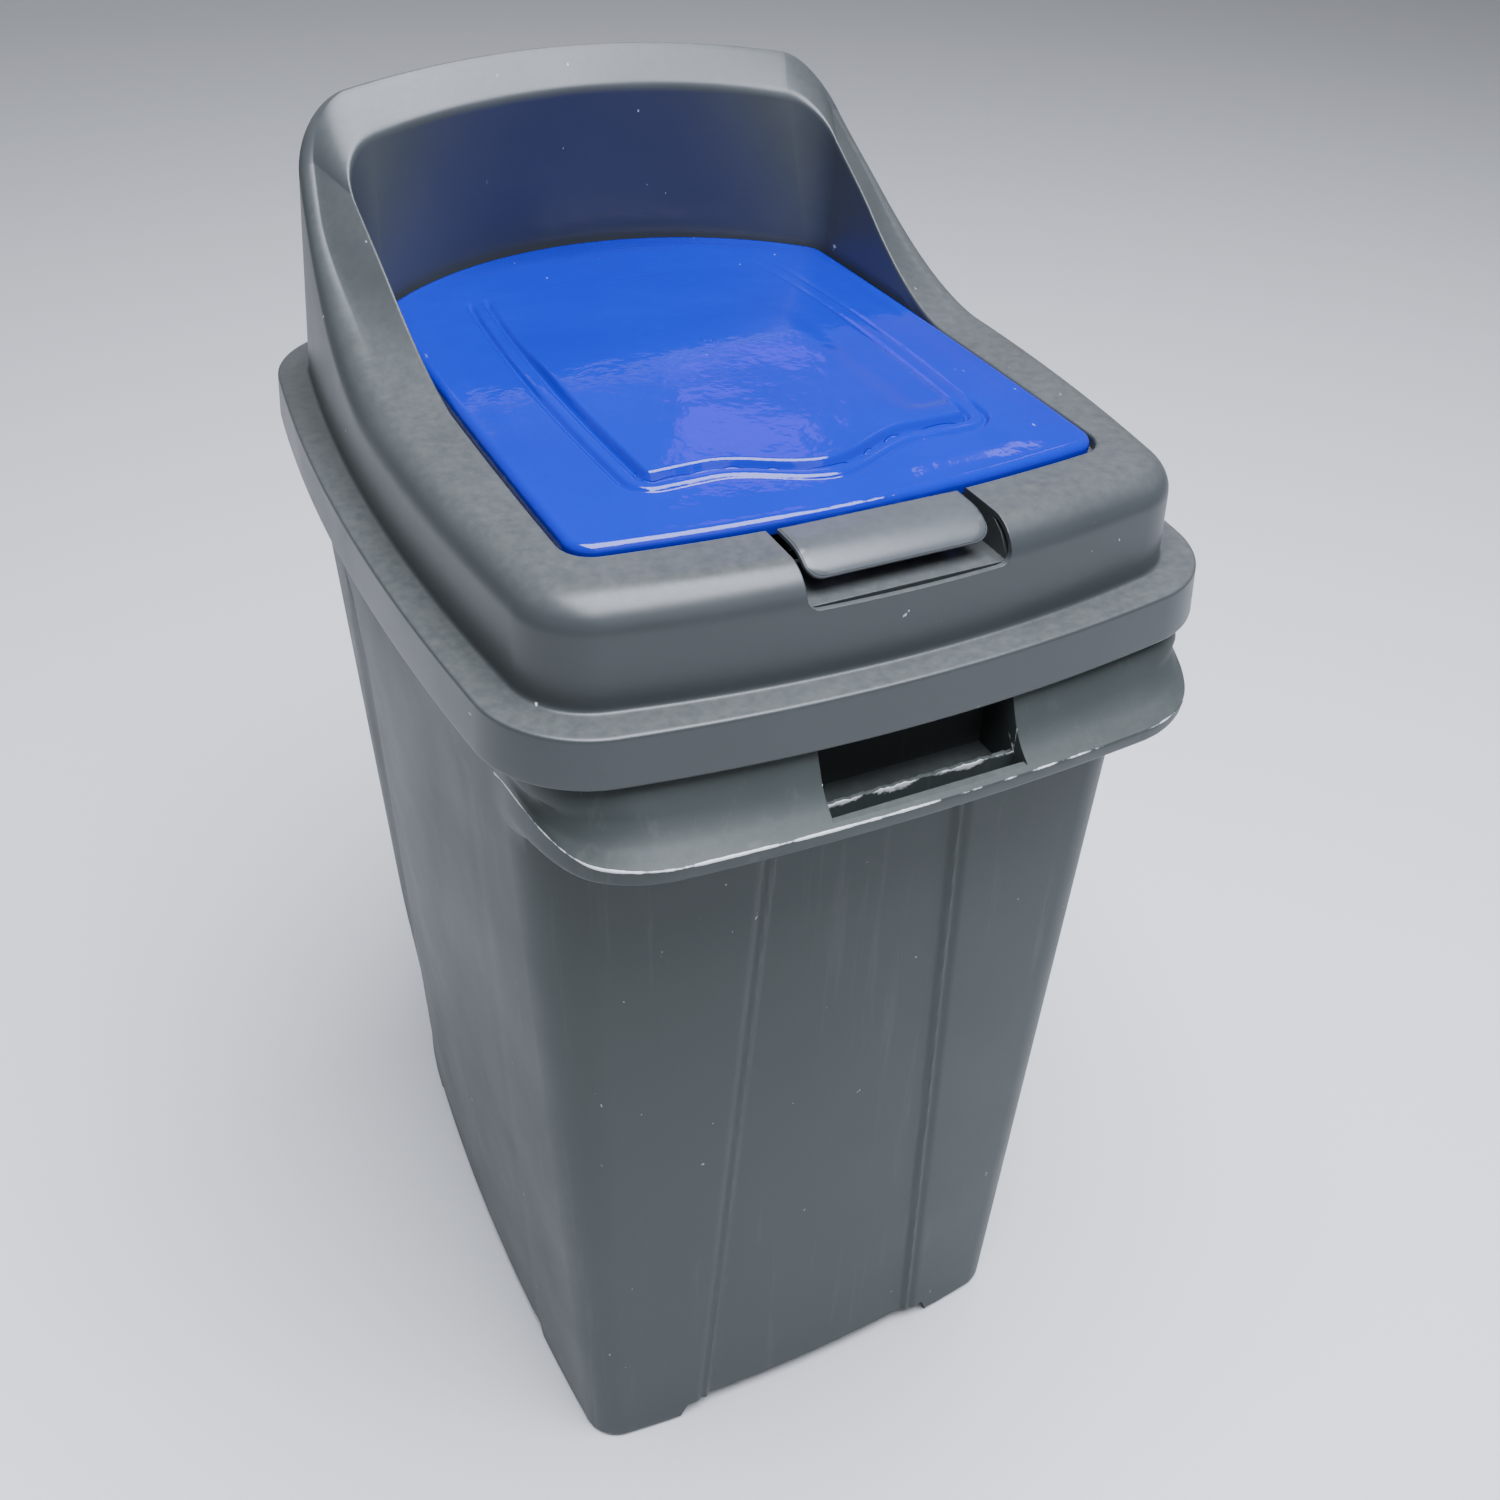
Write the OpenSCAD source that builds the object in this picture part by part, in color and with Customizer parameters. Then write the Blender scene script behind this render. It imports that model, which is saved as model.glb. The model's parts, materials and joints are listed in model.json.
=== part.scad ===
// Wheelie bin with a lift-off hooded lid, a hinged flap and a sprung catch lever.
// Millimetres, +Z up, front towards -Y, origin on the ground at the middle of the plan.

/* [Lid plan] */
// Half width of the lid flange at its corner lines
flange_half_w = 200; // [180:1:220]
// Half depth of the lid flange at its corner lines
flange_half_d = 245; // [225:1:260]
// How far each side of the flange bows out
side_bow = 18; // [10:1:24]
// How far the front and rear of the flange bow out
end_bow = 22; // [12:1:28]
// Corner radius of the flange at the front
front_r = 62; // [50:1:75]
// Corner radius of the flange at the rear
rear_r = 71; // [60:1:80]
// Width of the flat flange outside the dome
ledge_w = 18; // [14:1:24]

/* [Lid heights] */
// Height of the flange top above the ground
flange_z = 665; // [620:1:700]
// Height of the skirt that covers the tub rim
skirt_h = 28; // [22:1:34]
// Height of the front deck above the flange
deck_h = 57; // [48:1:66]
// Height of the hood above the front deck
hood_rise = 126; // [90:1:150]
// Drop from the outer to the inner edge of the hood rim
rim_drop = 20; // [10:1:26]
// Wall thickness of the lid
lid_wall = 3; // [2.5:0.1:3.5]
// Radius of the rounded outer edge
edge_r = 18; // [12:1:20]

/* [Flap] */
// Half width of the flap opening
mouth_half_w = 152; // [140:1:156]
// Front edge of the flap opening at its corners
mouth_front = 188; // [178:1:192]
// Rear edge of the flap opening at its middle
mouth_rear = 199; // [185:1:200]
// Gap between the flap and the opening
flap_gap = 2.6; // [2:0.1:3.5]
// Thickness of the flap
flap_t = 3; // [2.4:0.1:3.4]
// Depth of the flap's turned-down edge
flap_rim_h = 6; // [5:0.5:7]
// Place of the hinge axis behind the middle
hinge_y = 110; // [100:1:114]
// Depth of the hinge axis below the deck
hinge_drop = 13; // [12:0.5:16]
// Radius of the hinge pins
hinge_pin_r = 4; // [3:0.1:4.5]

/* [Catch lever] */
// Width of the lever
lever_w = 102; // [90:1:108]
// Gap between the lever and its recess
lever_gap = 5.5; // [3:0.5:7]
// Radius of the lever's curved front
lever_r = 28; // [24:1:30]
// Radius of the lever pin
lever_pin_r = 2; // [1.6:0.1:2.4]

/* [Tub] */
// Half width of the tub at the ground
foot_half_w = 166; // [155:1:175]
// Front of the tub at the ground
foot_front = 212; // [200:1:225]
// Rear of the tub at the ground
foot_rear = 194; // [180:1:205]
// Wall thickness of the tub
tub_wall = 3.5; // [3:0.1:5]
// Height of the raised edges between the feet
foot_h = 16; // [12:1:22]
// Width of the hand grips
grip_w = 113; // [95:1:120]
// How far the lip of a hand grip stands out in front of the lid skirt
grip_out = 19; // [14:1:24]

/* [Wheels] */
// Radius of a wheel with its tyre
wheel_r = 50; // [42:1:52]
// Width of a wheel
wheel_w = 30; // [24:1:32]
// Radius of the axle
axle_r = 6; // [5:0.5:7]
// Place of the axle behind the middle
axle_y = 168; // [158:1:172]
// Height of the wheels above the ground while the bin stands on its feet
wheel_lift = 1; // [0.5:0.5:3]

/* [Hidden] */
$fn = 48;

// Clearances.
seat_gap = 0.3;
bore_clear = 0.05;
rim_clear = 1.7;

// Heights.
deck_z = flange_z + deck_h;
peak_z = deck_z + hood_rise;
skirt_z = flange_z - skirt_h;
rim_top_z = flange_z - lid_wall - seat_gap;
rim_h = 12;
well_z = deck_z - 25;

// A plan is [half width, front, rear, front bow, side bow, rear bow, front radius, rear radius].
flange = [flange_half_w, flange_half_d, flange_half_d, end_bow, side_bow, end_bow, front_r, rear_r];
skirt_flare = 2;
dome_foot = grow(flange, -ledge_w);
dome_lean = 8;
rear_lean = 44;
hood_curve = 1.65;
hood_corner_r = 40;
dome_top = [dome_foot[0] - dome_lean, dome_foot[1] - dome_lean, dome_foot[2] - rear_lean,
            end_bow, side_bow, end_bow - 2, 40, hood_corner_r];
mouth_arc = 65;
mouth = [mouth_half_w, mouth_front, mouth_rear - mouth_arc, 12, 2, mouth_arc, 18, 25];
canopy = [mouth_half_w + 9, mouth_front, mouth_rear - 42, 12, 2, 17, 18, 32];
rim_plan = grow(flange, -lid_wall - rim_clear);
tub_top = grow(flange, -10) + [0, -16, -7, -7, -3, -7, -7, -9];
tub_foot = [foot_half_w, foot_front, foot_rear, 12, 11, 12, 26, 26];

// Catch lever and its recess.
recess_w = lever_w + 2 * lever_gap;
recess_floor_z = deck_z - 20;
lever_back = mouth_front + mouth[3];
lever_pin_y = -lever_back - 4;
lever_pin_z = deck_z - 8;
lever_sweep = 52;
catch_slot_w = 20;

// Wheels.
axle_z = wheel_r + wheel_lift;
notch_half_w = 151;
notch_front = axle_y - wheel_r - 6;
notch_top = axle_z + wheel_r + 5;
wheel_in = notch_half_w - wheel_w - 7;
axle_half = wheel_in + wheel_w + 2;
washer_t = 1.5;
tyre_t = 12;

// Hand grips: [height above the lip, how far out from the skirt, bow, corner radius].
skirt_out = flange_half_d + end_bow + skirt_flare;
grip_lip_z = skirt_z - 34;
grip_rows = [[-19, -29, 15, 45], [-11, grip_out - 3, 12, 70], [0, grip_out, 12, 72],
             [12, 5, 16, 70], [29, -3, 21, 62]];
grip_fade_from = 215;
grip_fade_to = 172;
rear_grip_half = 92;
rear_grip_fade = 40;
lip_t = 5;
lip_tuck = 3;

// Plan geometry.
steps = [4, 5, 8, 5, 5];
function grow(p, d) = p + d * [1, 1, 1, 0, 0, 0, 1, 1];
function mix(a, b, t) = a + (b - a) * t;
function smooth(t) = let (u = min(1, max(0, t))) u * u * (3 - 2 * u);
function bow_r(half, bow) = (half * half + bow * bow) / (2 * bow);
function arc(c, r, a, b, n) = [for (i = [0:n - 1]) c + r * [cos(mix(a, b, i / n)), sin(mix(a, b, i / n))]];
function heading(c, p) = atan2(p.y - c.y, p.x - c.x);
// Centre of the corner circle that touches two bowed walls from inside.
function corner(c0, r0, c1, r1, out) =
    let (v = c1 - c0, d = norm(v), a = (r0 * r0 - r1 * r1 + d * d) / (2 * d))
    c0 + a * v / d + out * sqrt(r0 * r0 - a * a) * [-v.y, v.x] / d;

// Left half of a plan from the front middle to the rear middle.
function half_plan(p) =
    let (depth = p[1] + p[2],
         rf = bow_r(p[0], p[3]), rs = bow_r(depth / 2, p[4]), rr = bow_r(p[0], p[5]),
         cf = [0, rf - p[1] - p[3]], cs = [rs - p[0] - p[4], (p[2] - p[1]) / 2],
         cr = [0, p[2] + p[5] - rr],
         kf = corner(cf, rf - p[6], cs, rs - p[6], -1),
         kr = corner(cr, rr - p[7], cs, rs - p[7], 1),
         af = heading(cf, kf), as0 = heading(cs, kf), as1 = heading(cs, kr), ar = heading(cr, kr),
         turn0 = as0 > 0 ? as0 - 360 : as0, turn1 = as1 > 0 ? as1 - 360 : as1)
    concat(arc(cf, rf, -90, af, steps[0]), arc(kf, p[6], af, turn0, steps[1]),
           arc(cs, rs, turn0, turn1, steps[2]), arc(kr, p[7], turn1, ar - 360, steps[3]),
           arc(cr, rr, ar - 360, -270, steps[4]), [[0, p[2] + p[5]]]);
function plan(p) =
    let (left = half_plan(p), n = len(left))
    concat(left, [for (i = [n - 2:-1:1]) [-left[i].x, left[i].y]]);

function raise(outline, z) = [for (q = outline) [q.x, q.y, z]];

// A solid whose section changes from ring to ring, closed at both ends.
module loft(rings) {
    n = len(rings[0]);
    m = len(rings);
    sides = [for (j = [0:m - 2]) for (i = [0:n - 1]) let (k = (i + 1) % n)
        each [[j * n + i, j * n + k, (j + 1) * n + k], [j * n + i, (j + 1) * n + k, (j + 1) * n + i]]];
    bottom = [[for (i = [n - 1:-1:0]) i]];
    top = [[for (i = [0:n - 1]) (m - 1) * n + i]];
    polyhedron([for (r = rings) each r], concat(bottom, sides, top));
}

// A closed shell around the plan, whose section is the list of rings.
module shell(rings) {
    n = len(rings[0]);
    m = len(rings);
    polyhedron([for (r = rings) each r],
        [for (j = [0:m - 1]) for (i = [0:n - 1])
            let (k = (i + 1) % n, a = j * n, b = ((j + 1) % m) * n)
            each [[a + i, a + k, b + k], [a + i, b + k, b + i]]]);
}

// Hood surfaces: the height of the rim follows how far back the dome wall stands.
dome_line = plan(dome_foot);
function rear_share(y) = max(0, y) / (dome_foot[2] + end_bow);
outer_h = [for (q = dome_line) deck_z + hood_rise * pow(rear_share(q.y), hood_curve)];
drop_from = 0.66;
inner_h = [for (i = [0:len(dome_line) - 1])
    outer_h[i] - rim_drop * smooth((rear_share(dome_line[i].y) - drop_from) / (1 - drop_from))];
function dome_at(inset, drop) =
    let (low = plan(grow(dome_foot, -inset)), high = plan(grow(dome_top, -inset)))
    [for (i = [0:len(low) - 1]) let (z = outer_h[i] - drop,
        q = mix(low[i], high[i], (z - flange_z) / (peak_z - flange_z))) [q.x, q.y, z]];
function mouth_at(outset, drop) =
    let (low = plan(grow(mouth, outset)), high = plan(grow(canopy, outset)))
    [for (i = [0:len(low) - 1]) let (z = inner_h[i] - drop,
        q = mix(low[i], high[i], max(0, z - deck_z) / (hood_rise - rim_drop))) [q.x, q.y, z]];

// The mouth wall stays upright to this height, and leans forward above it.
upright_top = deck_z + flap_t + 2;
function upright_at(outset, drop) =
    let (low = plan(grow(mouth, outset)))
    [for (i = [0:len(low) - 1]) [low[i].x, low[i].y, min(inner_h[i] - drop, upright_top)]];

module hood_shell() {
    shell([
        raise(plan(grow(flange, skirt_flare)), skirt_z),
        raise(plan(flange), flange_z - 2),
        raise(plan(grow(flange, -1.5)), flange_z),
        raise(dome_line, flange_z),
        dome_at(0, edge_r),
        dome_at(edge_r * 0.12, edge_r * 0.5),
        dome_at(edge_r * 0.45, edge_r * 0.14),
        dome_at(edge_r, 0),
        mouth_at(3, 0),
        mouth_at(0, 3),
        upright_at(0, 4),
        raise(plan(mouth), well_z),
        raise(plan(grow(mouth, lid_wall)), well_z),
        upright_at(lid_wall, 4 + lid_wall),
        mouth_at(lid_wall, 3 + lid_wall),
        dome_at(edge_r, lid_wall),
        dome_at(edge_r * 0.45 + lid_wall * 0.7, edge_r * 0.14 + lid_wall * 0.8),
        dome_at(lid_wall, edge_r),
        raise(plan(grow(dome_foot, -lid_wall)), flange_z - lid_wall),
        raise(plan(grow(flange, -lid_wall)), flange_z - lid_wall),
        raise(plan(grow(flange, skirt_flare - lid_wall)), skirt_z)]);
}

// A flat ring between two plans.
module plan_ring(outer, inner, z, h) {
    translate([0, 0, z]) linear_extrude(h) difference() {
        polygon(plan(outer));
        polygon(plan(inner));
    }
}

// A cylinder along X from x0 to x1.
module bar_x(r, x0, x1, y, z) {
    translate([x0, y, z]) rotate([0, 90, 0]) cylinder(r = r, h = x1 - x0);
}

// A block given by its low and high corners.
module block(low, high) {
    translate(low) cube(high - low);
}

// A (y, z) outline pulled along X from x0 to x1.
module side_plate(outline, x0, x1) {
    translate([x0, 0, 0]) rotate([90, 0, 90]) linear_extrude(x1 - x0) polygon(outline);
}

ledge_in = 9;
ledge_t = 3;
ledge_z = deck_z - flap_rim_h - seat_gap;
boss_in = mouth_half_w - 1.2;
boss_out = mouth_half_w + 10;
hinge_z = deck_z - hinge_drop;
floor_front = dome_foot[1] + end_bow - 6;
mouth_wall_y = mouth_front + mouth[3] - 0.5;

module recess_cut() {
    corner_r = 7;
    half = recess_w / 2;
    translate([0, -mouth_front + 2, recess_floor_z]) rotate([90, 0, 0]) linear_extrude(100) {
        translate([-half, corner_r]) square([recess_w, 60]);
        translate([corner_r - half, 0]) square([recess_w - 2 * corner_r, 60]);
        for (s = [-1, 1]) translate([s * (half - corner_r), corner_r]) circle(corner_r);
    }
}

module lid_hood() color("#53585c") {
    half = recess_w / 2;
    cheek = [[-mouth_wall_y, recess_floor_z - lid_wall], [-floor_front + 2, recess_floor_z - lid_wall],
             [-floor_front + 2, recess_floor_z + 2], [-floor_front + 10, deck_z - 8],
             [-floor_front + 20, deck_z - 1.5], [-mouth_wall_y, deck_z - 1.5]];
    difference() {
        union() {
            hood_shell();
            intersection() {
                plan_ring(grow(mouth, 1), grow(mouth, -ledge_in), ledge_z - ledge_t, ledge_t);
                block([-300, -300, 0], [300, hinge_y - 22, 2000]);
            }
            for (s = [0, 1]) mirror([s, 0, 0]) {
                bar_x(9, boss_in, boss_out, hinge_y, hinge_z);
                side_plate(cheek, half, half + lid_wall);
            }
            block([-half - lid_wall, -floor_front + 2, recess_floor_z - lid_wall],
                  [half + lid_wall, -mouth_wall_y, recess_floor_z]);
        }
        recess_cut();
        for (s = [0, 1]) mirror([s, 0, 0])
            bar_x(hinge_pin_r + bore_clear, boss_in - 10, boss_out + 10, hinge_y, hinge_z);
        block([-catch_slot_w / 2, lever_pin_y - 11, recess_floor_z - 10],
              [catch_slot_w / 2, lever_pin_y + 7, recess_floor_z + 10]);
    }
}

// Flap: a plate with a turned-down edge, a raised panel, two hinge lugs and two lever arms.
flap_plan = grow(mouth, -flap_gap);
flap_top_z = deck_z + flap_t;
lug_out = flap_plan[0] - 2;
lug_in = lug_out - 8;
lug_r = 8;
arm_r = 4;
arm_in = 30;
arm_out = 36;
arm_drop = 3.5;
panel_half_w = 108;
panel_front = 150;
panel_rear = 70;

module flap_panel() {
    r = 14;
    translate([0, 0, flap_top_z]) linear_extrude(2.5) {
        translate([-panel_half_w, -panel_front + r])
            square([2 * panel_half_w, panel_front + panel_rear - 2 * r]);
        translate([r - panel_half_w, -panel_front])
            square([2 * (panel_half_w - r), panel_front + panel_rear]);
        for (x = [r - panel_half_w, panel_half_w - r], y = [r - panel_front, panel_rear - r])
            translate([x, y]) circle(r);
    }
}

module flap() color("#1446d8") {
    arm = [[-mouth_front - 4, deck_z - flap_rim_h], [lever_pin_y, lever_pin_z - arm_r],
           [lever_pin_y, lever_pin_z + arm_r], [-mouth_front - 4, deck_z - arm_drop]];
    difference() {
        union() {
            translate([0, 0, deck_z]) linear_extrude(flap_t) polygon(plan(flap_plan));
            plan_ring(flap_plan, grow(flap_plan, -flap_t), deck_z - flap_rim_h, flap_rim_h + 1);
            flap_panel();
            for (s = [0, 1]) mirror([s, 0, 0]) {
                bar_x(lug_r, lug_in, lug_out, hinge_y, hinge_z);
                block([lug_in, hinge_y - lug_r, hinge_z], [lug_out, hinge_y + lug_r, deck_z + 1]);
                bar_x(arm_r, arm_in, arm_out, lever_pin_y, lever_pin_z);
                side_plate(arm, arm_in, arm_out);
            }
        }
        for (s = [0, 1]) mirror([s, 0, 0]) {
            bar_x(hinge_pin_r + bore_clear, lug_in - 1, lug_out + 1, hinge_y, hinge_z);
            bar_x(lever_pin_r + bore_clear, arm_in - 1, arm_out + 1, lever_pin_y, lever_pin_z);
        }
    }
}

module hinge_pin() color("#3c4043") {
    head_r = hinge_pin_r + 2.5;
    bar_x(hinge_pin_r, lug_in - 1, boss_out + 1, hinge_y, hinge_z);
    bar_x(head_r, lug_in - 3.5, lug_in - 0.5, hinge_y, hinge_z);
}
module hinge_pin_right() hinge_pin();
module hinge_pin_left() mirror([1, 0, 0]) hinge_pin();

// Catch lever: a curved finger plate, two pin lugs and a catch leg.
lever_t = 3;
lever_top_z = deck_z + 0.5;
lever_cy = lever_pin_y - 9;
lever_cz = lever_top_z - lever_r;
lever_lug_in = arm_out + 1;
lever_lug_out = lever_lug_in + 6;

module catch_lever() color("#5d6266") {
    half = lever_w / 2;
    outline = concat(
        [[-lever_back - 0.5, lever_top_z]],
        [for (i = [0:8]) let (a = 90 + lever_sweep * i / 8)
            [lever_cy + lever_r * cos(a), lever_cz + lever_r * sin(a)]],
        [for (i = [8:-1:0]) let (a = 90 + lever_sweep * i / 8)
            [lever_cy + (lever_r - lever_t) * cos(a), lever_cz + (lever_r - lever_t) * sin(a)]],
        [[-lever_back - 0.5, lever_top_z - lever_t]]);
    leg = [[lever_pin_y - 2, lever_top_z - 1], [lever_pin_y - 2, recess_floor_z - 6],
           [lever_pin_y + 6.2, recess_floor_z - 6], [lever_pin_y + 6.2, recess_floor_z - 3.5],
           [lever_pin_y + 2, recess_floor_z + 2], [lever_pin_y + 2, lever_top_z - 1]];
    difference() {
        union() {
            side_plate(outline, -half, half);
            for (s = [0, 1]) mirror([s, 0, 0]) {
                bar_x(arm_r, lever_lug_in, lever_lug_out, lever_pin_y, lever_pin_z);
                block([lever_lug_in, lever_pin_y - 2.5, lever_pin_z],
                      [lever_lug_out, lever_pin_y + 2.5, lever_top_z - 1]);
            }
            bar_x(arm_r, -6, 6, lever_pin_y, lever_pin_z);
            side_plate(leg, -6, 6);
        }
        bar_x(lever_pin_r + bore_clear, -half, half, lever_pin_y, lever_pin_z);
    }
}

module catch_pin() color("#b9bdc0") {
    bar_x(lever_pin_r, -lever_lug_out - 2, lever_lug_out + 2, lever_pin_y, lever_pin_z);
    bar_x(lever_pin_r + 1, -lever_lug_out - 3, -lever_lug_out - 1, lever_pin_y, lever_pin_z);
}

// Section of a round wire at point i of a path. The side direction never runs along the path.
wire_side = [0.6, 0.5, 0.62];
function ring_at(path, i, r, n) =
    let (a = path[max(0, i - 1)], b = path[min(len(path) - 1, i + 1)], t = (b - a) / norm(b - a),
         u = cross(t, wire_side), v = u / norm(u), w = cross(t, v))
    [for (j = [0:n - 1]) let (g = -360 * j / n) path[i] + r * (cos(g) * v + sin(g) * w)];

// Torsion spring on the lever pin, between the catch leg and an arm of the flap.
wire_r = 0.5;
coil_r = lever_pin_r + wire_r + 0.5;
coil_turns = 6;
coil_x = 10;
coil_pitch = 2;
coil_steps = 12;
module catch_spring() color("#c4c8cb") {
    axis = [0, lever_pin_y, lever_pin_z];
    inner_leg = [[coil_x, coil_r, -9], [coil_x, coil_r, -5]];
    coil = [for (i = [0:coil_turns * coil_steps]) let (a = 360 * i / coil_steps)
        [coil_x + coil_pitch * i / coil_steps, coil_r * cos(a), coil_r * sin(a)]];
    outer_leg = [[coil_x + coil_pitch * coil_turns, coil_r, 3], [coil_x + coil_pitch * coil_turns, coil_r, 4]];
    path = [for (q = concat(inner_leg, coil, outer_leg)) axis + q];
    loft([for (i = [0:len(path) - 1]) ring_at(path, i, wire_r, 6)]);
}

// Tub.
foot_line = plan(tub_foot);
top_line = plan(tub_top);
function front_share(q) = smooth((-q.y - grip_fade_to) / (grip_fade_from - grip_fade_to));
function rear_grip_share(q) = q.y < 0 ? 0 : smooth((rear_grip_half + rear_grip_fade - abs(q.x)) / rear_grip_fade);
function wall_line(z) = [for (i = [0:len(foot_line) - 1]) mix(foot_line[i], top_line[i], z / rim_top_z)];
function grip_line(row) =
    let (wall = wall_line(grip_lip_z + row[0]), out = skirt_out + row[1] - row[2],
         bulge = plan([rim_plan[0] - (row[0] > 20 ? 0 : lip_tuck), out, rim_plan[2], row[2], side_bow - 3, end_bow,
                       row[3], rear_r]),
         rear_out = out + row[2])
    [for (i = [0:len(wall) - 1]) let (q = mix(wall[i], bulge[i], front_share(top_line[i])),
        y = mix(q.y, rear_out, rear_grip_share(top_line[i]))) [q.x, y, grip_lip_z + row[0]]];

module tub_outside() {
    loft(concat(
        [raise(plan(grow(tub_foot, -3)), 0), raise(foot_line, 5), raise(wall_line(grip_lip_z - 24), grip_lip_z - 24)],
        [for (row = grip_rows) grip_line(row)],
        [for (z = [skirt_z + 4, rim_top_z - rim_h]) let (edge = plan(rim_plan), wall = wall_line(z))
            [for (i = [0:len(wall) - 1]) let (q = mix(wall[i], edge[i],
                max(front_share(top_line[i]), rear_grip_share(top_line[i])))) [q.x, q.y, z]]]));
    translate([0, 0, rim_top_z - rim_h - 1]) linear_extrude(rim_h + 1) polygon(plan(rim_plan));
}

module tub_inside() {
    loft([raise(plan(grow(tub_foot, -tub_wall - 1)), tub_wall), raise(plan(grow(tub_top, -tub_wall)), rim_top_z + 1)]);
}

front_foot_x = 100;
front_foot_y = -112;
rear_foot_y = 148;
module floor_gap(extra) {
    z = foot_h + extra;
    block([-front_foot_x - extra, -400, -1], [front_foot_x + extra, 400, z]);
    block([-400, front_foot_y - extra, -1], [400, rear_foot_y + extra, z]);
}

module wheel_notch(extra) {
    block([-notch_half_w - extra, notch_front - extra, -1], [notch_half_w + extra, 400, notch_top + extra]);
}

saddle_in = 92;
saddle_out = wheel_in - washer_t - 0.6;
module saddle() {
    profile = [[notch_front - 1, notch_top + 1], [notch_front - 1, axle_z - 10], [axle_y - 12, axle_z - 14],
               [axle_y + 12, axle_z - 14], [axle_y + 16, axle_z + 10], [axle_y + 20, notch_top + 1]];
    side_plate(profile, saddle_in, saddle_out);
}

module grip_pocket(out) {
    half = grip_w / 2;
    back = flange_half_d - 4;
    block([-half, back, grip_lip_z - 12], [half, out - lip_t, skirt_z + 3]);
    block([-half, back, grip_lip_z + 3], [half, out + 20, skirt_z + 3]);
    block([-half, back, skirt_z + 2], [half, flange_half_d + end_bow - lid_wall - rim_clear - 4, skirt_z + 8]);
}

module bin_body() color("#53585c") {
    lip = skirt_out + grip_out - 3;
    difference() {
        union() {
            difference() {
                tub_outside();
                difference() {
                    tub_inside();
                    floor_gap(tub_wall);
                    wheel_notch(tub_wall);
                }
                floor_gap(0);
                wheel_notch(0);
            }
            for (s = [0, 1]) mirror([s, 0, 0]) saddle();
        }
        mirror([0, 1, 0]) grip_pocket(lip);
        grip_pocket(lip);
        for (s = [0, 1]) mirror([s, 0, 0]) {
            bar_x(axle_r + bore_clear, saddle_in - 1, saddle_out + 1, axle_y, axle_z);
            block([saddle_in - 1, axle_y - axle_r * 0.8, 0], [saddle_out + 1, axle_y + axle_r * 0.8, axle_z]);
        }
    }
}

module axle() color("#9a9da0") bar_x(axle_r, -axle_half, axle_half, axle_y, axle_z);

// Turned parts lie along X, from their inner face.
module turned(x0) {
    translate([x0, axle_y, axle_z]) rotate([0, 90, 0]) rotate_extrude() children();
}

module wheel_hub() color("#2b2d2f") turned(wheel_in) {
    rim_r = wheel_r - tyre_t;
    boss_r = 14;
    bore = axle_r + bore_clear;
    web = 4;
    translate([bore, 0]) square([boss_r - bore, wheel_w]);
    translate([boss_r - 1, (wheel_w - web) / 2]) square([rim_r - boss_r, web]);
    translate([rim_r - 4, 2]) square([4, wheel_w - 4]);
}

module tyre() color("#1a1a1b") turned(wheel_in) {
    bevel = 4;
    rim_r = wheel_r - tyre_t;
    polygon([[rim_r, 1], [wheel_r - bevel, 1], [wheel_r, 1 + bevel], [wheel_r, wheel_w - 1 - bevel],
             [wheel_r - bevel, wheel_w - 1], [rim_r, wheel_w - 1]]);
}

module spacer_washer() color("#3c4043") turned(wheel_in - washer_t - seat_gap)
    translate([axle_r + bore_clear, 0]) square([6, washer_t]);

module star_retainer() color("#c4c8cb") turned(wheel_in + wheel_w + seat_gap)
    translate([axle_r, 0]) square([4, 1]);

module hub_cap() color("#2b2d2f") turned(wheel_in + wheel_w) {
    translate([12, 0]) square([1.8, 3]);
    translate([0, 3]) square([13.8, 1.5]);
}

module wheel_hub_right() wheel_hub();
module wheel_hub_left() mirror([1, 0, 0]) wheel_hub();
module tyre_right() tyre();
module tyre_left() mirror([1, 0, 0]) tyre();
module spacer_washer_right() spacer_washer();
module spacer_washer_left() mirror([1, 0, 0]) spacer_washer();
module star_retainer_right() star_retainer();
module star_retainer_left() mirror([1, 0, 0]) star_retainer();
module hub_cap_right() hub_cap();
module hub_cap_left() mirror([1, 0, 0]) hub_cap();

bin_body();
lid_hood();
flap();
hinge_pin_left();
hinge_pin_right();
catch_lever();
catch_pin();
catch_spring();
axle();
wheel_hub_left();
wheel_hub_right();
tyre_left();
tyre_right();
spacer_washer_left();
spacer_washer_right();
star_retainer_left();
star_retainer_right();
hub_cap_left();
hub_cap_right();
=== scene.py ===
"""Looks of a wheelie bin with a hooded lid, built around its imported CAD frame.

Shapes are worked out in millimetres in the row frame and turned into metres
when a mesh is made: +Z is up, -Y is the front, +X is the right.
"""

import json
import logging
import math
from dataclasses import dataclass, field, replace
from enum import Enum
from typing import Any, Callable, Iterable, Sequence

import bmesh
import bpy
import numpy as np
from mathutils import Matrix, Vector


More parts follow.
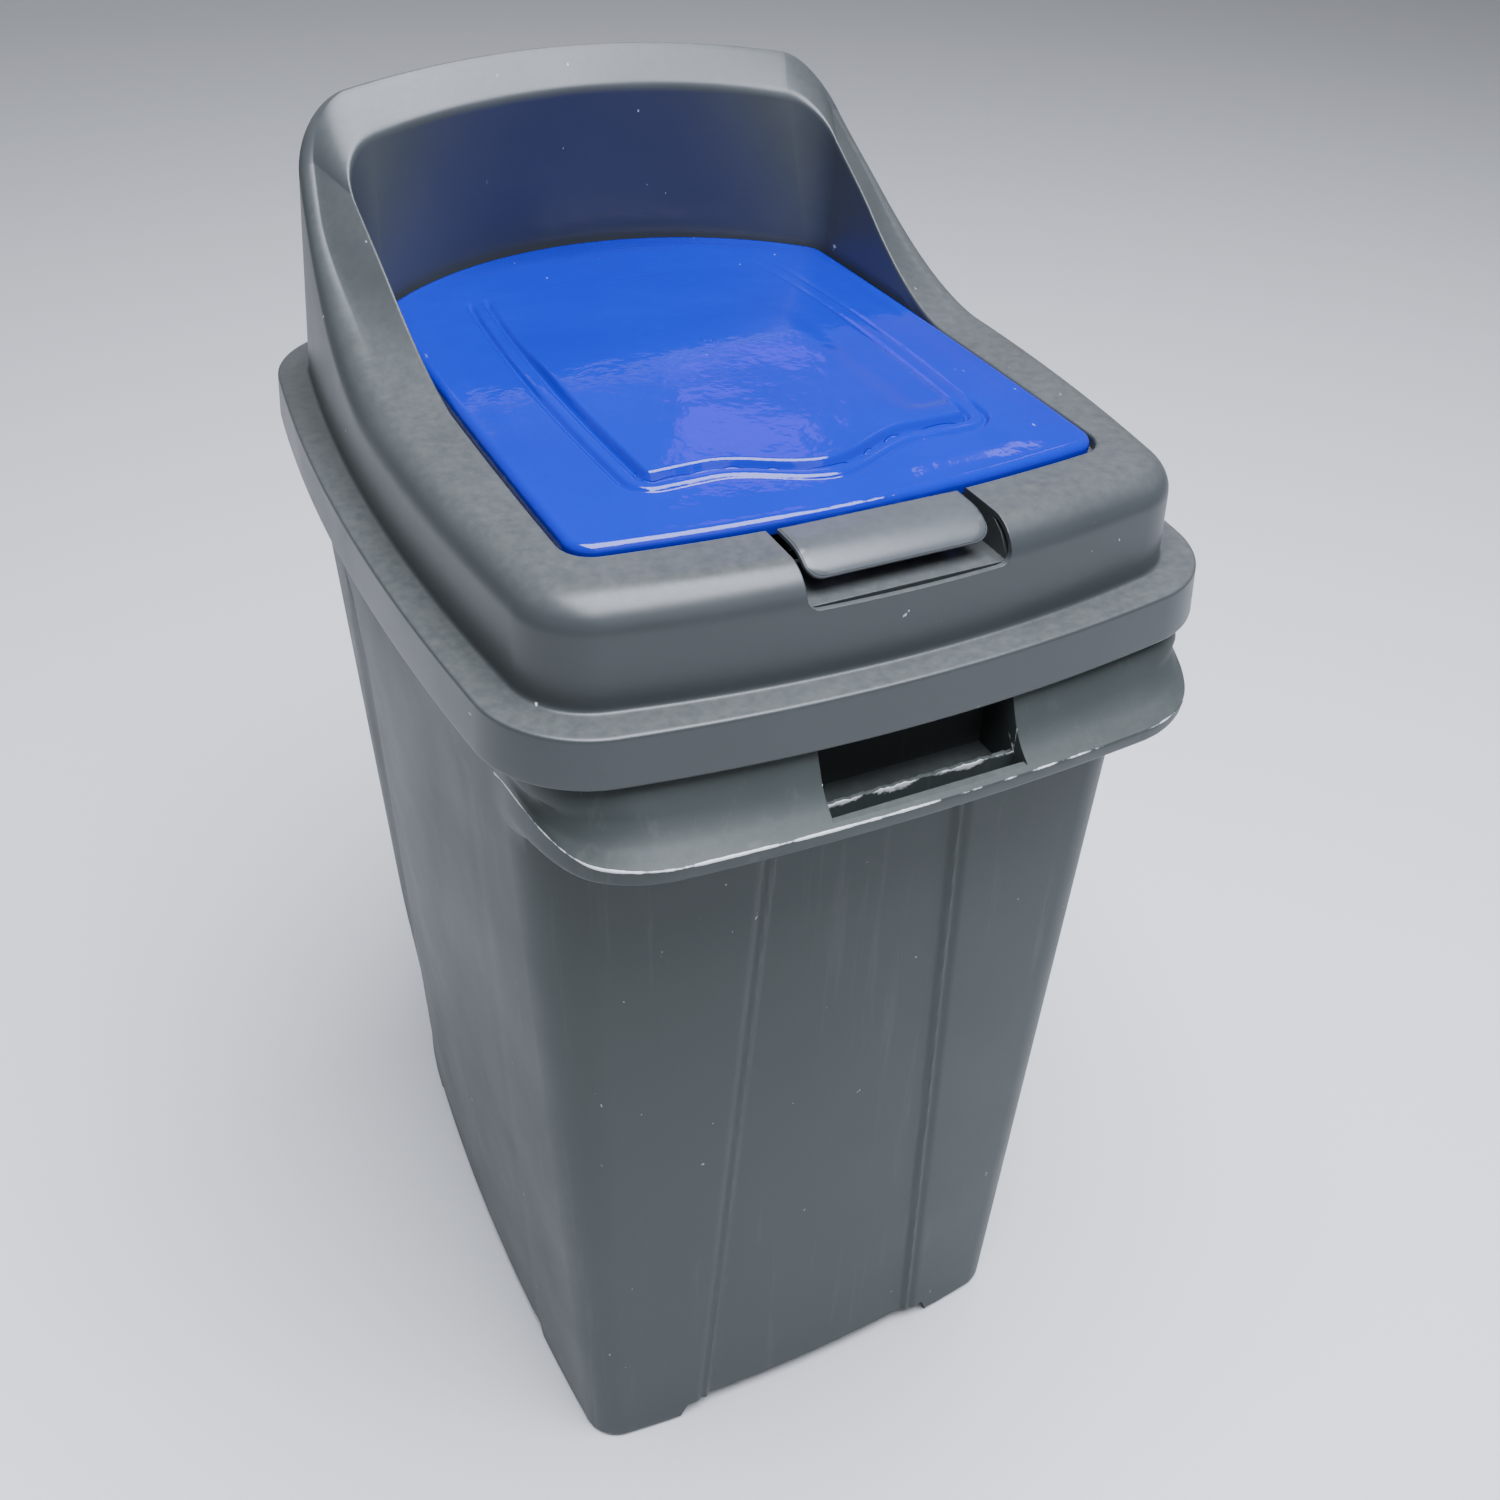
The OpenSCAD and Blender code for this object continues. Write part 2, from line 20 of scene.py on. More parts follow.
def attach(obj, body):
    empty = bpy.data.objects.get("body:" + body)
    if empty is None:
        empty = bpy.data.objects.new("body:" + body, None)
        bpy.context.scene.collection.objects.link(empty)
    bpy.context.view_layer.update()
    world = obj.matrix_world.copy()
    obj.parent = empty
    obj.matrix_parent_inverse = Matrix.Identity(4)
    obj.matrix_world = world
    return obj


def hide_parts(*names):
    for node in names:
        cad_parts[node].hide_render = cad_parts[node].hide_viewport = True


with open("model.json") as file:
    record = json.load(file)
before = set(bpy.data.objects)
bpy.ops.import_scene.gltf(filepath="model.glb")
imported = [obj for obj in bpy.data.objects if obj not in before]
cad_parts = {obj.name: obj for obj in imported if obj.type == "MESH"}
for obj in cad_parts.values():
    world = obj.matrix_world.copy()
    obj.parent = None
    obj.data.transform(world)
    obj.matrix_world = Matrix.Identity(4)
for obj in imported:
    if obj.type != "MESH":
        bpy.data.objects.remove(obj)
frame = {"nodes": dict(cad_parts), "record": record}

log = logging.getLogger("bin")

MM = 0.001
Values = np.ndarray | float

# Heights in mm, as in the CAD source.
FLANGE_Z = 665.0
SKIRT_Z = 637.0
DECK_Z = 722.0
PEAK_Z = 848.0
WELL_Z = 697.0
RIM_TOP_Z = 661.7
LIP_Z = 603.0
UPRIGHT_TOP = 727.0
RECESS_FLOOR = 702.0

# The lid's wall, and the radius of its edge at the deck and at the canopy.
LID_WALL = 3.0
EDGE_R = 18.0
CANOPY_EDGE_R = 8.0
# The canopy rises over the deck along a power curve, by this much at the rear.
HOOD_RISE = 126.0
HOOD_CURVE = 1.65
# The rim's inner edge lies lower than its outer one, from this share of the way to the rear on.
RIM_DROP = 20.0
DROP_FROM, DROP_OVER = 0.5, 0.5

# Half the width of the lever recess, and the places of the turning parts.
RECESS_HALF = 56.5
HINGE_Y, HINGE_Z = 110.0, 709.0
LEVER_PIN_Y, LEVER_PIN_Z = -204.0, 714.0
AXLE_Y, AXLE_Z, WHEEL_IN, WHEEL_W = 168.0, 51.0, 114.0, 30.0


class Body(str, Enum):
    """CAD bodies that the pieces ride on."""

    TUB = "tub"
    HOOD = "hood"
    FLAP = "flap"
    LEVER = "lever"
    WHEEL_LEFT = "wheel_left"
    WHEEL_RIGHT = "wheel_right"


class Slot(str, Enum):
    """Material slots of the record."""

    SHELL = "grey_shell"
    LID = "grey_lid"
    LEVER = "grey_lever"
    FLAP = "blue_flap"
    DARK = "dark_plastic"
    RUBBER = "black_rubber"
    STEEL = "zinc_steel"


def smooth(t: Values) -> np.ndarray:
    """Eases from 0 to 1.

    Args:
        t: Share of the way, of any size.

    Returns:
        The eased share, held at 0 and 1 outside the range.
    """
    u = np.clip(t, 0.0, 1.0)
    return u * u * (3 - 2 * u)


def mix(a: Values, b: Values, t: Values) -> Values:
    """Goes from a to b by the share t."""
    return a + (b - a) * t


# ------------------------------------------------------------------ plans


def bow_radius(half: float, bow: float) -> float:
    """Radius of the arc that rises by bow over twice half."""
    return (half * half + bow * bow) / (2 * bow)


def corner_centre(c0: np.ndarray, r0: float, c1: np.ndarray, r1: float, side: int) -> np.ndarray:
    """Finds the centre of the corner circle that touches two bowed walls.

    Args:
        c0: Centre of the first wall's arc.
        r0: Distance of the wanted centre from c0.
        c1: Centre of the second wall's arc.
        r1: Distance of the wanted centre from c1.
        side: 1 for the meeting point left of the way from c0 to c1, -1 for the other.

    Returns:
        The centre.
    """
    v = c1 - c0
    d = float(np.hypot(*v))
    a = (r0 * r0 - r1 * r1 + d * d) / (2 * d)
    return c0 + a * v / d + side * math.sqrt(r0 * r0 - a * a) * np.array([-v[1], v[0]]) / d


def arc(centre: np.ndarray, radius: float, start: float, end: float, count: int) -> np.ndarray:
    """Points on an arc, without its last point, with angles in degrees."""
    t = np.radians(mix(start, end, np.arange(count) / count))
    return np.stack([centre[0] + radius * np.cos(t), centre[1] + radius * np.sin(t)], 1)


def heading(centre: np.ndarray, point: np.ndarray) -> float:
    """Angle of point from centre, in degrees."""
    return math.degrees(math.atan2(point[1] - centre[1], point[0] - centre[0]))


@dataclass(frozen=True)
class Plan:
    """A rounded rectangle whose four sides bow out, in mm."""

    half_w: float
    front: float
    rear: float
    front_bow: float
    side_bow: float
    rear_bow: float
    front_r: float
    rear_r: float

    def grow(self, d: float) -> "Plan":
        """Moves every side out.

        Args:
            d: How far, less than 0 to move them in.

        Returns:
            The new plan, with its corner radii grown alike.
        """
        return replace(
            self,
            half_w=self.half_w + d,
            front=self.front + d,
            rear=self.rear + d,
            front_r=self.front_r + d,
            rear_r=self.rear_r + d,
        )

    def outline(self, steps: Sequence[int]) -> np.ndarray:
        """Points round the plan from the front middle, over the left side.

        Args:
            steps: Points on the front, front corner, side, rear corner and rear.

        Returns:
            An array of n points by 2.
        """
        rf = bow_radius(self.half_w, self.front_bow)
        rs = bow_radius((self.front + self.rear) / 2, self.side_bow)
        rr = bow_radius(self.half_w, self.rear_bow)
        cf = np.array([0, rf - self.front - self.front_bow])
        cs = np.array([rs - self.half_w - self.side_bow, (self.rear - self.front) / 2])
        cr = np.array([0, self.rear + self.rear_bow - rr])
        kf = corner_centre(cf, rf - self.front_r, cs, rs - self.front_r, -1)
        kr = corner_centre(cr, rr - self.rear_r, cs, rs - self.rear_r, 1)
        af, ar = heading(cf, kf), heading(cr, kr) - 360
        t0, t1 = heading(cs, kf), heading(cs, kr)
        t0, t1 = t0 - 360 * (t0 > 0), t1 - 360 * (t1 > 0)
        left = np.concatenate(
            [
                arc(cf, rf, -90, af, steps[0]),
                arc(kf, self.front_r, af, t0, steps[1]),
                arc(cs, rs, t0, t1, steps[2]),
                arc(kr, self.rear_r, t1, ar, steps[3]),
                arc(cr, rr, ar, -270, steps[4]),
                [[0, self.rear + self.rear_bow]],
            ]
        )
        return np.concatenate([left, (left * [-1, 1])[-2:0:-1]])


# The plans are named for what they bound. A pair of them is blended by height.
FLANGE = Plan(200, 245, 245, 22, 18, 22, 62, 71)
DOME_FOOT = FLANGE.grow(-18)
DOME_TOP = Plan(DOME_FOOT.half_w - 8, DOME_FOOT.front - 8, DOME_FOOT.rear - 44, 22, 18, 20, 40, 40)
MOUTH = Plan(152, 188, 134, 12, 2, 65, 18, 25)
CANOPY = Plan(161, 188, 157, 12, 2, 17, 18, 32)
RIM = FLANGE.grow(-4.7)
RIM_REAR_R = 71
TUB_TOP = Plan(190, 219, 228, 15, 15, 15, 45, 52)
TUB_FOOT = Plan(166, 212, 194, 12, 11, 12, 26, 26)
FLAP = MOUTH.grow(-2.6)


# ------------------------------------------------------------------ solids


def raised(outline: np.ndarray, z: Values) -> np.ndarray:
    """An outline with heights."""
    return np.column_stack([outline, np.broadcast_to(z, len(outline))])


def fillet(a: np.ndarray, corner: np.ndarray, b: np.ndarray, count: int) -> list[np.ndarray]:
    """Rings that round a corner from a to b, both included."""
    t = np.linspace(0, 1, count + 1)
    return [(1 - s) ** 2 * a + 2 * s * (1 - s) * corner + s * s * b for s in t]


def between(a: np.ndarray, b: np.ndarray, count: int) -> list[np.ndarray]:
    """Rings strictly between a and b."""
    return [mix(a, b, k / (count + 1)) for k in range(1, count + 1)]


def chaikin(rows: np.ndarray, times: int) -> np.ndarray:
    """Rounds the corners of a polyline.

    Args:
        rows: Its points, as rows of any width.
        times: How often each corner is cut at a quarter of its sides.

    Returns:
        The new rows, with both ends kept.
    """
    for _ in range(times):
        q, r = mix(rows[:-1], rows[1:], 0.25), mix(rows[:-1], rows[1:], 0.75)
        rows = np.concatenate([rows[:1], np.stack([q, r], 1).reshape(-1, rows.shape[1])[1:-1], rows[-1:]])
    return rows


@dataclass
class Solid:
    """Points in mm and faces by index, before they become a mesh."""

    points: np.ndarray
    faces: list

    @classmethod
    def loft(cls, rings: Sequence[np.ndarray], closed: bool = False) -> "Solid":
        """Joins rings of equal length.

        Args:
            rings: The rings, from one end to the other.
            closed: True joins the last ring to the first, False caps both ends.

        Returns:
            The solid.
        """
        m, n = len(rings), len(rings[0])
        j = np.arange(m if closed else m - 1)[:, None] * n
        i = np.arange(n)[None, :]
        k, up = (i + 1) % n, (j + n) % (m * n)
        faces = np.stack([j + i, up + i, up + k, j + k], -1).reshape(-1, 4).tolist()
        if not closed:
            faces += [list(range(n)), list(range(m * n - 1, (m - 1) * n - 1, -1))]
        return cls(np.concatenate(rings), faces)

    @classmethod
    def block(cls, low: Sequence[float], high: Sequence[float]) -> "Solid":
        """Makes a block.

        Args:
            low: The corner with the smallest coordinates.
            high: The corner with the largest.

        Returns:
            The block.
        """
        x0, y0, z0 = low
        x1, y1, z1 = high
        ring = np.array([[x0, y0], [x0, y1], [x1, y1], [x1, y0]], float)
        return cls.loft([raised(ring, z0), raised(ring, z1)])

    @classmethod
    def plate_x(cls, outline: Sequence, x0: float, x1: float) -> "Solid":
        """A (y, z) outline pulled along X."""
        yz = np.array(outline, float)
        return cls.loft([np.column_stack([np.full(len(yz), x), yz]) for x in (x0, x1)])

    @classmethod
    def plate_y(cls, outline: Sequence, y0: float, y1: float) -> "Solid":
        """An (x, z) outline pulled along Y."""
        xz = np.array(outline, float)
        return cls.loft([np.column_stack([xz[:, 0], np.full(len(xz), y), xz[:, 1]]) for y in (y0, y1)])

    @classmethod
    def bar_x(cls, r: float, x0: float, x1: float, y: float, z: float, soft: float = 0.0) -> "Solid":
        """Makes a round bar along X.

        Args:
            r: Its radius.
            x0: Where it starts.
            x1: Where it ends.
            y: The middle's Y.
            z: The middle's Z.
            soft: Chamfer of both ends.

        Returns:
            The bar.
        """
        t = np.linspace(0, math.tau, 48, endpoint=False)
        stations = [(x0, r), (x1, r)]
        if soft:
            stations = [(x0, r - soft), (x0 + soft, r), (x1 - soft, r), (x1, r - soft)]
        rings = [(np.full(len(t), x), y + q * np.cos(t), z + q * np.sin(t)) for x, q in stations]
        return cls.loft([np.column_stack(ring) for ring in rings])

    @classmethod
    def turned(cls, profile: Sequence, x0: float, count: int = 96) -> "Solid":
        """Turns a closed profile about the axle.

        Args:
            profile: Its corners as (radius, x).
            x0: What is added to every x.
            count: Steps round the axle.

        Returns:
            The turned solid.
        """
        r, x = chaikin(np.array([*profile, profile[0]], float), 1)[:-1].T
        turn = np.linspace(0, math.tau, count, endpoint=False)
        rings = [np.column_stack([x0 + x, AXLE_Y + r * math.cos(a), AXLE_Z + r * math.sin(a)]) for a in turn]
        return cls.loft(rings, closed=True)

    @classmethod
    def taken_from(cls, obj: bpy.types.Object) -> "Solid":
        """Takes the shape out of an object and removes the object.

        Args:
            obj: A helper object.

        Returns:
            Its shape in mm.
        """
        co = np.empty(len(obj.data.vertices) * 3)
        obj.data.vertices.foreach_get("co", co)
        solid = cls(co.reshape(-1, 3) / MM, [list(f.vertices) for f in obj.data.polygons])
        bpy.data.objects.remove(obj)
        return solid

    def __add__(self, other: "Solid") -> "Solid":
        """Both solids as one, without joining them where they meet."""
        faces = [[i + len(self.points) for i in f] for f in other.faces]
        return Solid(np.concatenate([self.points, other.points]), self.faces + faces)

    def mirrored(self) -> "Solid":
        """The same solid on the other side of the middle plane."""
        return Solid(self.points * [-1, 1, 1], [f[::-1] for f in self.faces])

    def at_rear(self) -> "Solid":
        """The same solid with front and rear swapped."""
        return Solid(self.points * [1, -1, 1], self.faces)

    def both_sides(self) -> "Solid":
        """The solid and its mirror image."""
        return self + self.mirrored()

    def to_object(self, name: str) -> bpy.types.Object:
        """Makes a mesh object in metres, with its faces turned outwards.

        Args:
            name: The object's name.

        Returns:
            The object, linked to the scene.
        """
        mesh = bpy.data.meshes.new(name)
        mesh.from_pydata((self.points * MM).tolist(), [], self.faces)
        bm = bmesh.new()
        bm.from_mesh(mesh)
        bmesh.ops.recalc_face_normals(bm, faces=bm.faces)
        bm.to_mesh(mesh)
        bm.free()
        obj = bpy.data.objects.new(name, mesh)
        bpy.context.scene.collection.objects.link(obj)
        return obj


class Cut(str, Enum):
    """What a boolean does with its tool."""

    TAKE = "DIFFERENCE"
    ADD = "UNION"


def carve(obj: bpy.types.Object, tool: Solid, how: Cut = Cut.TAKE) -> None:
    """Cuts a tool out of an object's mesh, or adds it.

    Args:
        obj: The object, whose mesh is replaced.
        tool: The solid to take away or to add.
        how: Whether to take or to add.
    """
    cutter = tool.to_object("tool")
    mod = obj.modifiers.new("cut", "BOOLEAN")
    mod.object, mod.operation, mod.solver = cutter, how.value, "MANIFOLD"
    made = bpy.data.meshes.new_from_object(obj.evaluated_get(bpy.context.evaluated_depsgraph_get()))
    obj.modifiers.clear()
    before, obj.data = obj.data, made
    bpy.data.objects.remove(cutter)
    bpy.data.meshes.remove(before)
    if not obj.data.polygons:
        raise RuntimeError(f"{obj.name}: nothing is left after a cut")


# --------------------------------------------------------------- materials


def linear(code: str) -> tuple[float, float, float, float]:
    """Turns an sRGB hex colour into the linear values that shaders use."""
    channels = [int(code[i : i + 2], 16) / 255 for i in (1, 3, 5)]
    return (*[c / 12.92 if c <= 0.04045 else ((c + 0.055) / 1.055) ** 2.4 for c in channels], 1.0)


class Node(str, Enum):
    """Kinds of shader node."""

    COORDINATES = "ShaderNodeTexCoord"
    GEOMETRY = "ShaderNodeNewGeometry"
    ATTRIBUTE = "ShaderNodeAttribute"
    SPLIT = "ShaderNodeSeparateXYZ"
    VECTOR = "ShaderNodeVectorMath"
    NOISE = "ShaderNodeTexNoise"
    RANGE = "ShaderNodeMapRange"
    MATH = "ShaderNodeMath"
    MIX = "ShaderNodeMix"
    BEVEL = "ShaderNodeBevel"
    BUMP = "ShaderNodeBump"
    SURFACE = "ShaderNodeBsdfPrincipled"
    MATERIAL_END = "ShaderNodeOutputMaterial"
    BACKGROUND = "ShaderNodeBackground"
    WORLD_END = "ShaderNodeOutputWorld"


TIMES = {"operation": "MULTIPLY"}
PLUS = {"operation": "ADD"}
COLOURS = {"data_type": "RGBA", "clamp_factor": True}


class Graph:
    """The node tree of one material, or of the world."""

    def __init__(self, owner: bpy.types.ID) -> None:
        """Starts an empty tree.

        Args:
            owner: The material or world that the tree belongs to.
        """
        owner.use_nodes = True
        self.tree = owner.node_tree
        self.tree.nodes.clear()

    def add(self, kind: Node, inputs: dict | None = None, out: int | str = 0, **settings: Any) -> Any:
        """Adds a node, sets its properties and fills or links its inputs.

        Args:
            kind: The kind of node.
            inputs: Values or sockets by input name or number.
            out: Name or number of the output that is wanted.
            **settings: Properties of the node.

        Returns:
            The output, or None for a node without outputs.
        """
        node = self.tree.nodes.new(kind.value)
        for key, value in settings.items():
            setattr(node, key, value)
        for key, value in (inputs or {}).items():
            if isinstance(value, bpy.types.NodeSocket):
                self.tree.links.new(value, node.inputs[key])
            else:
                node.inputs[key].default_value = value
        return node.outputs[out] if len(node.outputs) else None


@dataclass(frozen=True)
class Pattern:
    """Cloudy noise, by the real size of its blobs."""

    size_mm: float
    detail: float = 3.0
    rough: float = 0.55
    stretch: tuple[float, float, float] = (1.0, 1.0, 1.0)

    def inputs(self, where: Any) -> dict:
        """The noise's inputs, for places in mm."""
        return {"Vector": where, "Scale": 1 / self.size_mm, "Detail": self.detail, "Roughness": self.rough}


def held(value: Any, low: float, high: float, to_low: float = 0.0, to_high: float = 1.0) -> dict:
    """Inputs that map low to high onto another range, held at its ends."""
    return {"Value": value, "From Min": low, "From Max": high, "To Min": to_low, "To Max": to_high}


DUST = Pattern(6, 6, 0.7)
RAIN_STREAK = Pattern(10, 5, 0.65, (1.0, 1.0, 0.06))
NICK = Pattern(5, 2, 0.5, (1.0, 0.45, 0.7))
NICK_PATCH = Pattern(60, 2)
TORN_EDGE = Pattern(2.2, 5, 0.75)
SCUFF_PATCH = Pattern(24, 3)


@dataclass(frozen=True)
class Finish:
    """How a surface is made and how it wears.

    The mould's own grain is finer than 0.1 mm and wouldn't show, so it is drawn coarser.
    """

    name: str
    base: str
    rough: float
    rough_spread: float = 0.05
    metallic: float = 0.0
    coat: float = 0.0
    coat_rough: float = 0.05
    specular: float = 0.5
    shade_spread: float = 0.06
    cloud_mm: float = 90.0
    grain_mm: float = 0.7
    grain_depth_mm: float = 0.012
    wave_mm: float = 0.0
    wave_depth_mm: float = 0.0
    nick: str = "#c9cdd0"
    nicks: float = 0.0
    dust: float = 0.0
    edge_mm: float = 0.0
    streaks: float = 0.0

    def worn(self, g: Graph, where: Any) -> Any:
        """Where the surface is scuffed through, from the mesh's own marks.

        Args:
            g: The material's graph.
            where: Places in mm.

        Returns:
            The share of wear, from 0 to 1.
        """
        torn = g.add(Node.NOISE, TORN_EDGE.inputs(where))
        patchy = g.add(Node.NOISE, SCUFF_PATCH.inputs(where))
        mark = g.add(Node.ATTRIBUTE, out="Fac", attribute_name="scuff")
        wear = g.add(Node.MATH, {0: mark, 1: g.add(Node.RANGE, held(patchy, 0.34, 0.6, 0.72, 1.0))}, **TIMES)
        rough = g.add(Node.MATH, {0: torn, 1: 0.3}, **TIMES)
        return g.add(Node.RANGE, held(g.add(Node.MATH, {0: wear, 1: rough}, **PLUS), 0.86, 0.96))

    def colour(self, g: Graph, where: Any, cloud: Any, worn: Any) -> Any:
        """Lays dust, rain streaks, nicks and wear over the plastic's own colour.

        Args:
            g: The material's graph.
            where: Places in mm.
            cloud: Wide clouds that shade the colour.
            worn: Share of wear.

        Returns:
            The colour.
        """
        base = linear(self.base)
        light = tuple(min(1, c * (1 + self.shade_spread)) for c in base[:3]) + (1,)
        dark = tuple(c * (1 - self.shade_spread) for c in base[:3]) + (1,)
        layers = [(g.add(Node.RANGE, held(cloud, 0.35, 0.65)), light)]
        if self.dust:
            normal = g.add(Node.GEOMETRY, out="Normal")
            level = g.add(Node.RANGE, held(g.add(Node.SPLIT, {0: normal}, 2), 0.55, 1.0))
            fine = g.add(Node.NOISE, DUST.inputs(where))
            lying = g.add(Node.RANGE, held(fine, 0.35, 0.8, 0.3 * self.dust, self.dust))
            layers += [(g.add(Node.MATH, {0: level, 1: lying}, **TIMES), linear(DUST_COLOUR))]
        if self.streaks:
            along = g.add(Node.VECTOR, {0: where, 1: RAIN_STREAK.stretch}, **TIMES)
            run = g.add(Node.NOISE, RAIN_STREAK.inputs(along))
            layers += [(g.add(Node.RANGE, held(run, 0.58, 0.8, 0, self.streaks)), linear(STREAK_COLOUR))]
        if self.nicks:
            along = g.add(Node.VECTOR, {0: where, 1: NICK.stretch}, **TIMES)
            spot = g.add(Node.RANGE, held(g.add(Node.NOISE, NICK.inputs(along)), 0.75, 0.77))
            patch = g.add(Node.RANGE, held(g.add(Node.NOISE, NICK_PATCH.inputs(where)), 0.52, 0.58))
            near = g.add(Node.MATH, {0: spot, 1: patch}, **TIMES)
            layers += [(g.add(Node.MATH, {0: near, 1: self.nicks}, **TIMES), linear(self.nick))]
        shown = dark
        for share, over in [*layers, (worn, linear(SCUFF_COLOUR))]:
            shown = g.add(Node.MIX, {0: share, 6: shown, 7: over}, 2, **COLOURS)
        return shown

    def normal(self, g: Graph, where: Any, worn: Any) -> Any:
        """Bumps the surface by its grain, its waves and its scuffs.

        Args:
            g: The material's graph.
            where: Places in mm.
            worn: Share of wear.

        Returns:
            The normal.
        """
        grain = g.add(Node.NOISE, Pattern(self.grain_mm, 3, 0.6).inputs(where))
        height = g.add(Node.MATH, {0: grain, 1: self.grain_depth_mm * MM}, **TIMES)
        if self.wave_mm:
            wave = g.add(Node.NOISE, Pattern(self.wave_mm, 4, 0.5).inputs(where))
            swell = g.add(Node.MATH, {0: wave, 1: self.wave_depth_mm * MM}, **TIMES)
            height = g.add(Node.MATH, {0: height, 1: swell}, **PLUS)
        burr = g.add(Node.MATH, {0: worn, 1: SCUFF_HEIGHT_MM * MM}, **TIMES)
        bump = {"Height": g.add(Node.MATH, {0: height, 1: burr}, **PLUS), "Distance": 1.0, "Strength": 1.0}
        if self.edge_mm:
            bump["Normal"] = g.add(Node.BEVEL, {"Radius": self.edge_mm * MM}, samples=6)
        return g.add(Node.BUMP, bump)

    def build(self) -> bpy.types.Material:
        """Makes the material.

        Returns:
            The material, named for what it is made of.
        """
        mat = bpy.data.materials.new(self.name)
        g = Graph(mat)
        where = g.add(Node.VECTOR, {0: g.add(Node.COORDINATES, out="Object"), 1: (1 / MM,) * 3}, **TIMES)
        cloud = g.add(Node.NOISE, Pattern(self.cloud_mm, 4).inputs(where))
        worn = self.worn(g, where)
        smoothest, roughest = self.rough - self.rough_spread, self.rough + self.rough_spread
        shader = g.add(
            Node.SURFACE,
            {
                "Base Color": self.colour(g, where, cloud, worn),
                "Roughness": g.add(Node.RANGE, held(cloud, 0.3, 0.7, smoothest, roughest)),
                "Metallic": self.metallic,
                "Specular IOR Level": self.specular,
                "Coat Weight": self.coat,
                "Coat Roughness": self.coat_rough,
                "Normal": self.normal(g, where, worn),
            },
        )
        g.add(Node.MATERIAL_END, {"Surface": shader})
        mat.diffuse_color = linear(self.base)
        return mat


DUST_COLOUR = "#a9a79f"
STREAK_COLOUR = "#8b8c8a"
SCUFF_COLOUR = "#d8dadb"
SCUFF_HEIGHT_MM = 0.15

FINISHES = {
    # Polyethylene from a satin mould: a broad, dull sheen with rain streaks and a few pale nicks.
    Slot.SHELL: Finish(
        "hdpe_grey_injection_moulded_satin",
        "#3a3f3e",
        0.48,
        specular=0.25,
        nicks=0.5,
        dust=0.10,
        edge_mm=0.9,
        streaks=0.10,
    ),
    # The same plastic from a smoother mould: a tighter sheen, and dust where it lies level.
    Slot.LID: Finish(
        "hdpe_grey_injection_moulded_lid", "#3b3f40", 0.35, specular=0.5, nicks=0.9, dust=0.16, edge_mm=0.9
    ),
    # Polypropylene from a polished mould: small clear highlights that run along the finger edge.
    Slot.LEVER: Finish(
        "pp_grey_polished_mould_lever", "#484b4e", 0.25, shade_spread=0.03, nicks=0.5, dust=0.08, edge_mm=0.5
    ),
    # High-gloss polypropylene whose skin sank a little as it cooled: clear reflections that waver.
    Slot.FLAP: Finish(
        "pp_blue_high_gloss_moulded",
        "#0019a6",
        0.07,
        rough_spread=0.03,
        coat=0.1,
        shade_spread=0.04,
        grain_mm=1.6,
        grain_depth_mm=0.004,
        wave_mm=34,
        wave_depth_mm=1.1,
        nick="#9db4ff",
        nicks=0.55,
        edge_mm=0.5,
    ),
    # Plain black moulding: dull, with edges that catch little light.
    Slot.DARK: Finish("pp_black_moulded", "#2b2d2f", 0.5, dust=0.05, edge_mm=0.4),
    # Vulcanised rubber: no sheen, and a coarse grain that holds dust.
    Slot.RUBBER: Finish(
        "rubber_black_vulcanised", "#1b1b1c", 0.72, grain_mm=1.4, grain_depth_mm=0.05, dust=0.15, edge_mm=0.6
    ),
    # Zinc plate on drawn steel: bright and slightly clouded.
    Slot.STEEL: Finish(
        "steel_zinc_plated_drawn",
        "#b8bcbf",
        0.33,
        metallic=1.0,
        shade_spread=0.05,
        cloud_mm=9,
        grain_mm=0.9,
        grain_depth_mm=0.004,
        edge_mm=0.3,
    ),
}


@dataclass
class Shop:
    """Finishes pieces and hangs them on the frame."""

    made: dict = field(default_factory=dict)

    def material(self, slot: Slot) -> bpy.types.Material:
        """The material of a slot, made once.

        Args:
            slot: The record's material slot.

        Returns:
            The material.
        """
        if slot not in self.made:
            self.made[slot] = FINISHES[slot].build()
        return self.made[slot]

    def dress(self, obj: bpy.types.Object, slot: Slot) -> None:
        """Gives an object the material of its slot.

        Args:
            obj: The object.
            slot: The record's material slot.
        """
        obj.data.materials.clear()
        obj.data.materials.append(self.material(slot))

    def hand_over(
        self,
        obj: bpy.types.Object,
        body: Body,
        slot: Slot,
        stands_for: Iterable[str] = (),
        scuff: Callable[[np.ndarray], np.ndarray] | None = None,
        sharp_deg: float = 38.0,
    ) -> None:
        """Smooths, marks and dresses a piece, and lets it ride on its body.

        Args:
            obj: The finished mesh object, in the row frame.
            body: The CAD body that it moves with.
            slot: The record's material slot.
            stands_for: CAD nodes that it replaces.
            scuff: Gives how worn each point is, from points in mm.
            sharp_deg: Edges that turn by more than this stay sharp.
        """
        mesh = obj.data
        mesh.shade_smooth()
        mesh.set_sharp_from_angle(angle=math.radians(sharp_deg))
        if scuff is not None:
            co = np.empty(len(mesh.vertices) * 3, np.float32)
            mesh.vertices.foreach_get("co", co)
            worn = np.clip(scuff(co.reshape(-1, 3) / MM), 0, 1).astype(np.float32)
            mesh.attributes.new("scuff", "FLOAT", "POINT").data.foreach_set("value", worn)
        even = obj.modifiers.new("even_normals", "WEIGHTED_NORMAL")
        even.keep_sharp = True
        self.dress(obj, slot)
        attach(obj, body.value)
        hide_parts(*stands_for)
        log.info("%s: %d points", obj.name, len(mesh.vertices))


